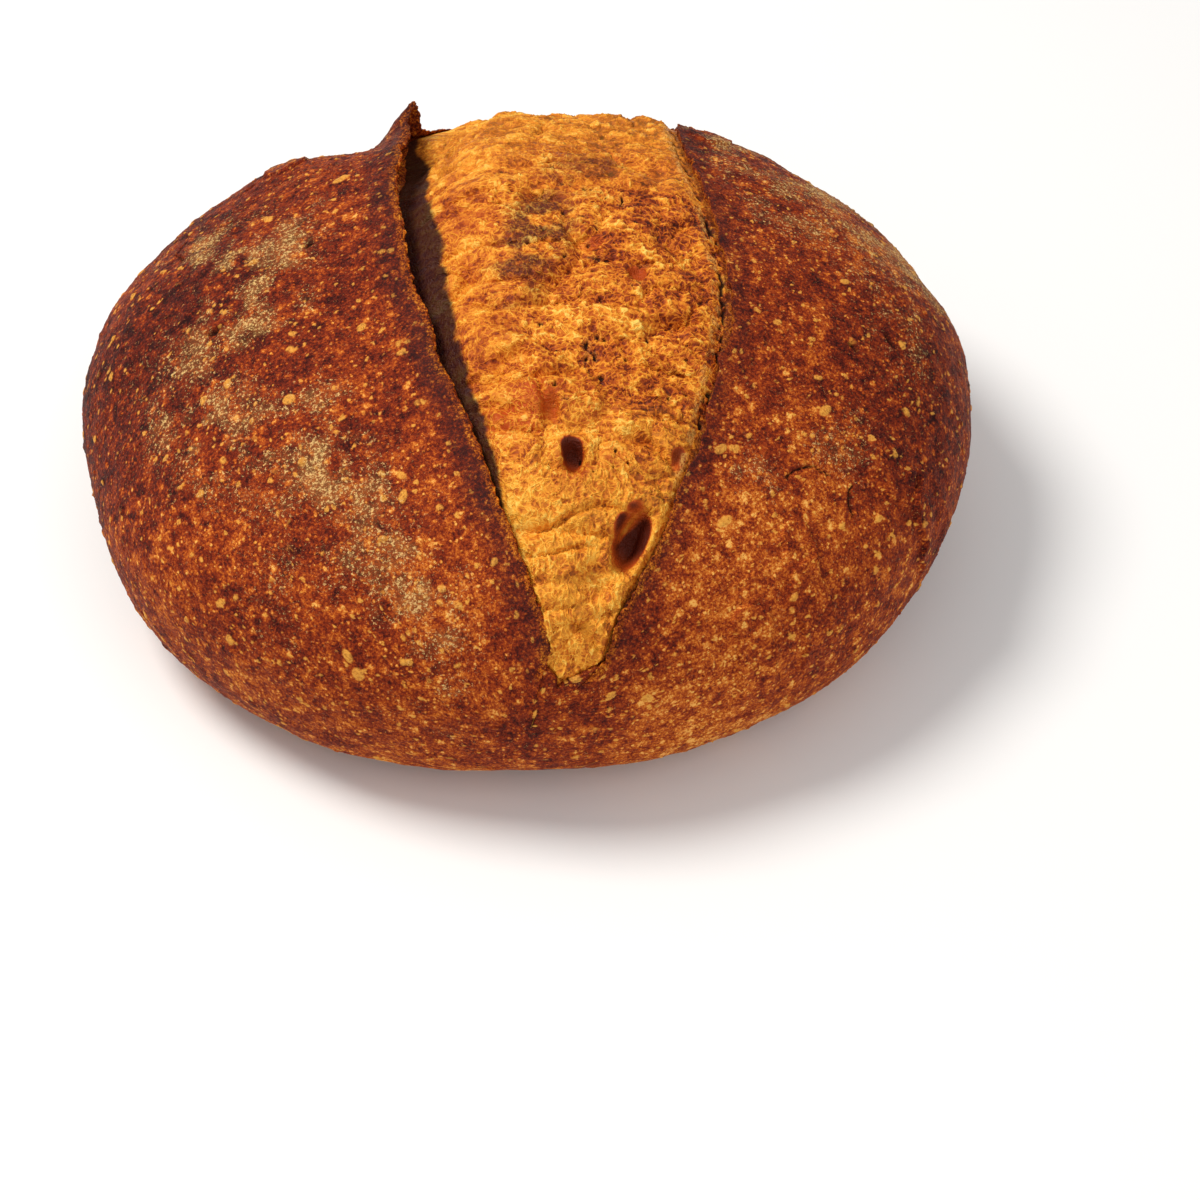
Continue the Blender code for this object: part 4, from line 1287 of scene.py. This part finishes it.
def crust_colours(paint):
    """(colour, roughness, height) of browned crust."""
    place = paint.place
    bake_and_shade, singed, blister = paint.look("bake_and_shade"), paint.look("singed"), paint.look("blister")
    patch, flour = paint.look("patch"), paint.look("flour")
    grit = paint.noise(place, 0.0008, 3.0, 0.75)
    specks, _ = domes(paint, place, 0.0014, 0.30, 0.50, 0.5)
    blotches, _ = domes(paint, place, 0.0036, 0.25, 0.50, 0.7)
    # The baking look also carries the painted shade of the rims.
    value = 0.66 - bake_and_shade * 0.60 + (grit - 0.5) * 1.5 + (patch - 0.5) * 1.5 + blotches * 0.30
    value = value + specks * 0.30 + blister.ramp(0.0, 0.5) * 0.16 - singed * 0.12
    colour = paint.scale(value, CRUST_SCALE)
    colour = paint.mix(blister.ramp(0.12, 0.55) * grit.ramp(0.3, 0.6, 0.35, 0.95), colour, GOLDEN)
    dust = paint.noise(place, 0.0010, 3.0, 0.85)
    colour = paint.mix(dust.ramp(0.62, 0.68) * (1 - singed) * 0.45, colour, PALE_FLECK)
    dusty = (dust + flour * 0.11).ramp(0.58, 0.70) * flour.ramp(0.03, 0.30)
    colour = paint.mix(flour.ramp(0.1, 1.0) * 0.50, colour, DUSTED_BROWN)
    colour = paint.mix(dusty * 0.78, colour, FLOUR_WHITE)
    # Painted shade in the pits and cracks.
    colour = paint.mix(paint.look("hollow"), colour, HOLLOW_SHADE)
    torn_colour = paint.scale((grit - 0.5) * 2.0 + (patch - 0.5) * 1.2 + 0.32, TORN_SCALE)
    colour = paint.mix(paint.look("torn"), colour, torn_colour)
    colour = paint.mix(singed * grit.ramp(0.35, 0.68, 0.90, 0.35), colour, SINGED)
    roughness = dusty * 0.2 - blister * 0.1 + 0.6
    return colour, roughness, grit * 0.8 + specks * 0.4


crust_paint = Paint(crust_look)
crust_paint.finish(*crust_colours(crust_paint), depth=0.0006, strength=0.9, shine=0.06)

# %% Torn crumb
# The deep purple-brown of the gap is painted shadow, cast by the ear.
OLIVE, GREY_BURN, GAP_SHADOW_PURPLE = screen(240, 172, 56), screen(62, 30, 24), screen(40, 10, 14)
# The pocket brown and the pore black are painted shade inside the crumb's holes.
POCKET_SHADE_BROWN, PORE_SHADE_BLACK, RIM_PALE = screen(74, 24, 14), screen(30, 12, 8), screen(238, 180, 92)
RED_MEMBRANE, BRINK_BROWN, SCORCHED = screen(182, 70, 18), screen(92, 40, 18), screen(120, 48, 18)
# This orange is the lighter edge of the painted shade in pockets.
POCKET_SHADE_ORANGE = screen(186, 76, 20)


def crumb_colours(paint):
    """(colour, roughness, height) of torn, baked crumb."""
    strands, walls, tint, low = (paint.look(name) for name in ("strands", "walls", "tint", "low_end"))
    fine = paint.noise(paint.place, 0.0006, 2.0, 0.65)
    far_back, sunny = paint.look("far_back"), paint.look("sunny")
    bent = paint.move("ADD", paint.place, spread(paint, paint.place, 0.0045, 0.0050))
    threads = ridges(paint, paint.move("MULTIPLY", bent, (0.35, 1.2, 1.2)), 0.0016, 1.0, 12)
    curls = ridges(paint, bent, 0.0025, 1.0, 13)
    lace = 1 - paint.cells(bent, 0.0026, "DISTANCE_TO_EDGE").ramp(0.02, 0.15)
    web = curls.maths("MAXIMUM", lace) * (1 - far_back * 0.7) + threads * (far_back * 0.7 + 0.3)
    # The sunny slope is made lighter as painted light.
    value = 0.22 + sunny * 0.10 - paint.look("red_side") * 0.12 + low * 0.16 + far_back * 0.08
    value = value + paint.look("mood") * 0.13
    value = value + (tint - 0.5) * 0.9 + (fine - 0.5) * 0.4 + (paint.look("membrane") - 0.5) * 0.24
    value = value + walls * 0.22 + strands * 0.24 + web * (1 - sunny * 0.3) * 0.28 + paint.look("blob") * 0.24
    colour = paint.scale(value, TORN_SCALE)
    colour = paint.mix(low * tint.ramp(0.40, 0.6, 0.1, 0.4) + far_back * 0.20, colour, OLIVE)
    red, burnt, pocket = (paint.look(name) for name in ("reds", "burnt", "pocket"))
    colour = paint.mix(red * (1 - walls) * web.ramp(0.1, 0.9, 0.95, 0.30), colour, RED_MEMBRANE)
    colour = paint.mix(burnt * (1.0 - web * 0.5), colour, SCORCHED)
    colour = paint.mix(burnt * burnt * fine.ramp(0.3, 0.62, 0.85, 0.25), colour, GREY_BURN)
    # Painted shade in the pockets: orange at their rims, brown deeper in.
    colour = paint.mix(pocket.ramp(0.0, 0.5), colour, POCKET_SHADE_ORANGE)
    colour = paint.mix(pocket.ramp(0.3, 1.0) * 0.95, colour, POCKET_SHADE_BROWN)
    colour = paint.mix(paint.look("rim") * fine.ramp(0.35, 0.60) * 0.6, colour, RIM_PALE)
    colour = paint.mix(paint.look("brink") * fine.ramp(0.3, 0.6, 1.0, 0.45), colour, BRINK_BROWN)
    # Painted shade inside the pores and slits.
    colour = paint.mix(paint.look("pore") * 0.95, colour, PORE_SHADE_BLACK)
    # Painted shadow of the ear across the gap beside it.
    colour = paint.mix(paint.look("gap") * 0.94, colour, GAP_SHADOW_PURPLE)
    return colour, 0.48 + fine * 0.1, fine + web * 0.7


crumb_paint = Paint(crumb_look)
crumb_paint.finish(*crumb_colours(crumb_paint), depth=0.0003, strength=0.8, shine=0.15)

# %% [markdown]
# ## Camera, light and floor
#
# The camera looks down on the loaf from 44 degrees, far enough away that its lens doesn't spread it.
# A large lamp above, behind and to the left gives the soft shadow on the right of each ridge.

# %% Camera
ELEVATION = math.radians(44)
DISTANCE = 0.95
LENS, SENSOR = 97.34, 36
PIXELS_PER_METRE = 888 / 0.260
PHOTO_MIDDLE, LOAF_PIXEL = (600, 600), (532, 402)
LOOK_DROP = 0.004  # how far below half its height the loaf is looked at
looked_at = np.array([0, 0, HEIGHT / 2 - LOOK_DROP])
back_way = np.array([0, -math.cos(ELEVATION), math.sin(ELEVATION)])
up_way = np.array([0, math.sin(ELEVATION), math.cos(ELEVATION)])
aim = looked_at + np.array([1, 0, 0]) * (PHOTO_MIDDLE[0] - LOAF_PIXEL[0]) / PIXELS_PER_METRE
aim = aim - up_way * (PHOTO_MIDDLE[1] - LOAF_PIXEL[1]) / PIXELS_PER_METRE
eye = looked_at + back_way * DISTANCE


def aimed(name, data, where, target):
    """An object at a place, looking at a target."""
    holder = bpy.data.objects.new(name, data)
    bpy.context.scene.collection.objects.link(holder)
    holder.location = where
    holder.rotation_euler = (Vector(target) - Vector(where)).to_track_quat("-Z", "Y").to_euler()
    return holder


lens = bpy.data.cameras.new("camera")
lens.lens, lens.sensor_width = LENS, SENSOR
bpy.context.scene.camera = aimed("camera", lens, eye, aim)

# %% Light
# Lamps: name, size in metres, power in watts, place, screen colour.
LAMPS = (
    ("key", 0.6, 18.0, (-0.70, 0.15, 1.30), (255, 251, 245)),
    ("fill", 1.6, 7.0, (0.7, -1.1, 1.1), (255, 252, 248)),
)
SKY_WHITE, SKY_STRENGTH = (1.0, 1.0, 1.0, 1.0), 0.5
for name, size, power, where, tint in LAMPS:
    lamp = bpy.data.lights.new(name, "AREA")
    lamp.shape, lamp.size, lamp.energy = "DISK", size, power
    lamp.color = screen(*tint)[:3]
    aimed(name, lamp, where, (0, 0, HEIGHT / 2))

world = bpy.data.worlds.new("studio")
world.use_nodes = True
sky = world.node_tree.nodes["Background"]
sky.inputs["Color"].default_value = SKY_WHITE
sky.inputs["Strength"].default_value = SKY_STRENGTH
bpy.context.scene.world = world
bpy.context.scene.view_settings.view_transform = "Standard"

# %% Floor
FLOOR_REACH, FLOOR_GREY, FLOOR_ROUGHNESS = 3.0, (0.86, 0.86, 0.86, 1), 0.9
floor_mesh = bpy.data.meshes.new("floor")
corners = [(x * FLOOR_REACH, y * FLOOR_REACH, 0) for x, y in ((-1, -1), (1, -1), (1, 1), (-1, 1))]
floor_mesh.from_pydata(corners, [], [(0, 1, 2, 3)])
floor = bpy.data.objects.new("floor", floor_mesh)
bpy.context.scene.collection.objects.link(floor)
floor_paint = bpy.data.materials.new("pale floor")
floor_paint.use_nodes = True
floor_inputs = floor_paint.node_tree.nodes["Principled BSDF"].inputs
floor_inputs["Base Color"].default_value = FLOOR_GREY
floor_inputs["Roughness"].default_value = FLOOR_ROUGHNESS
floor_mesh.materials.append(floor_paint)
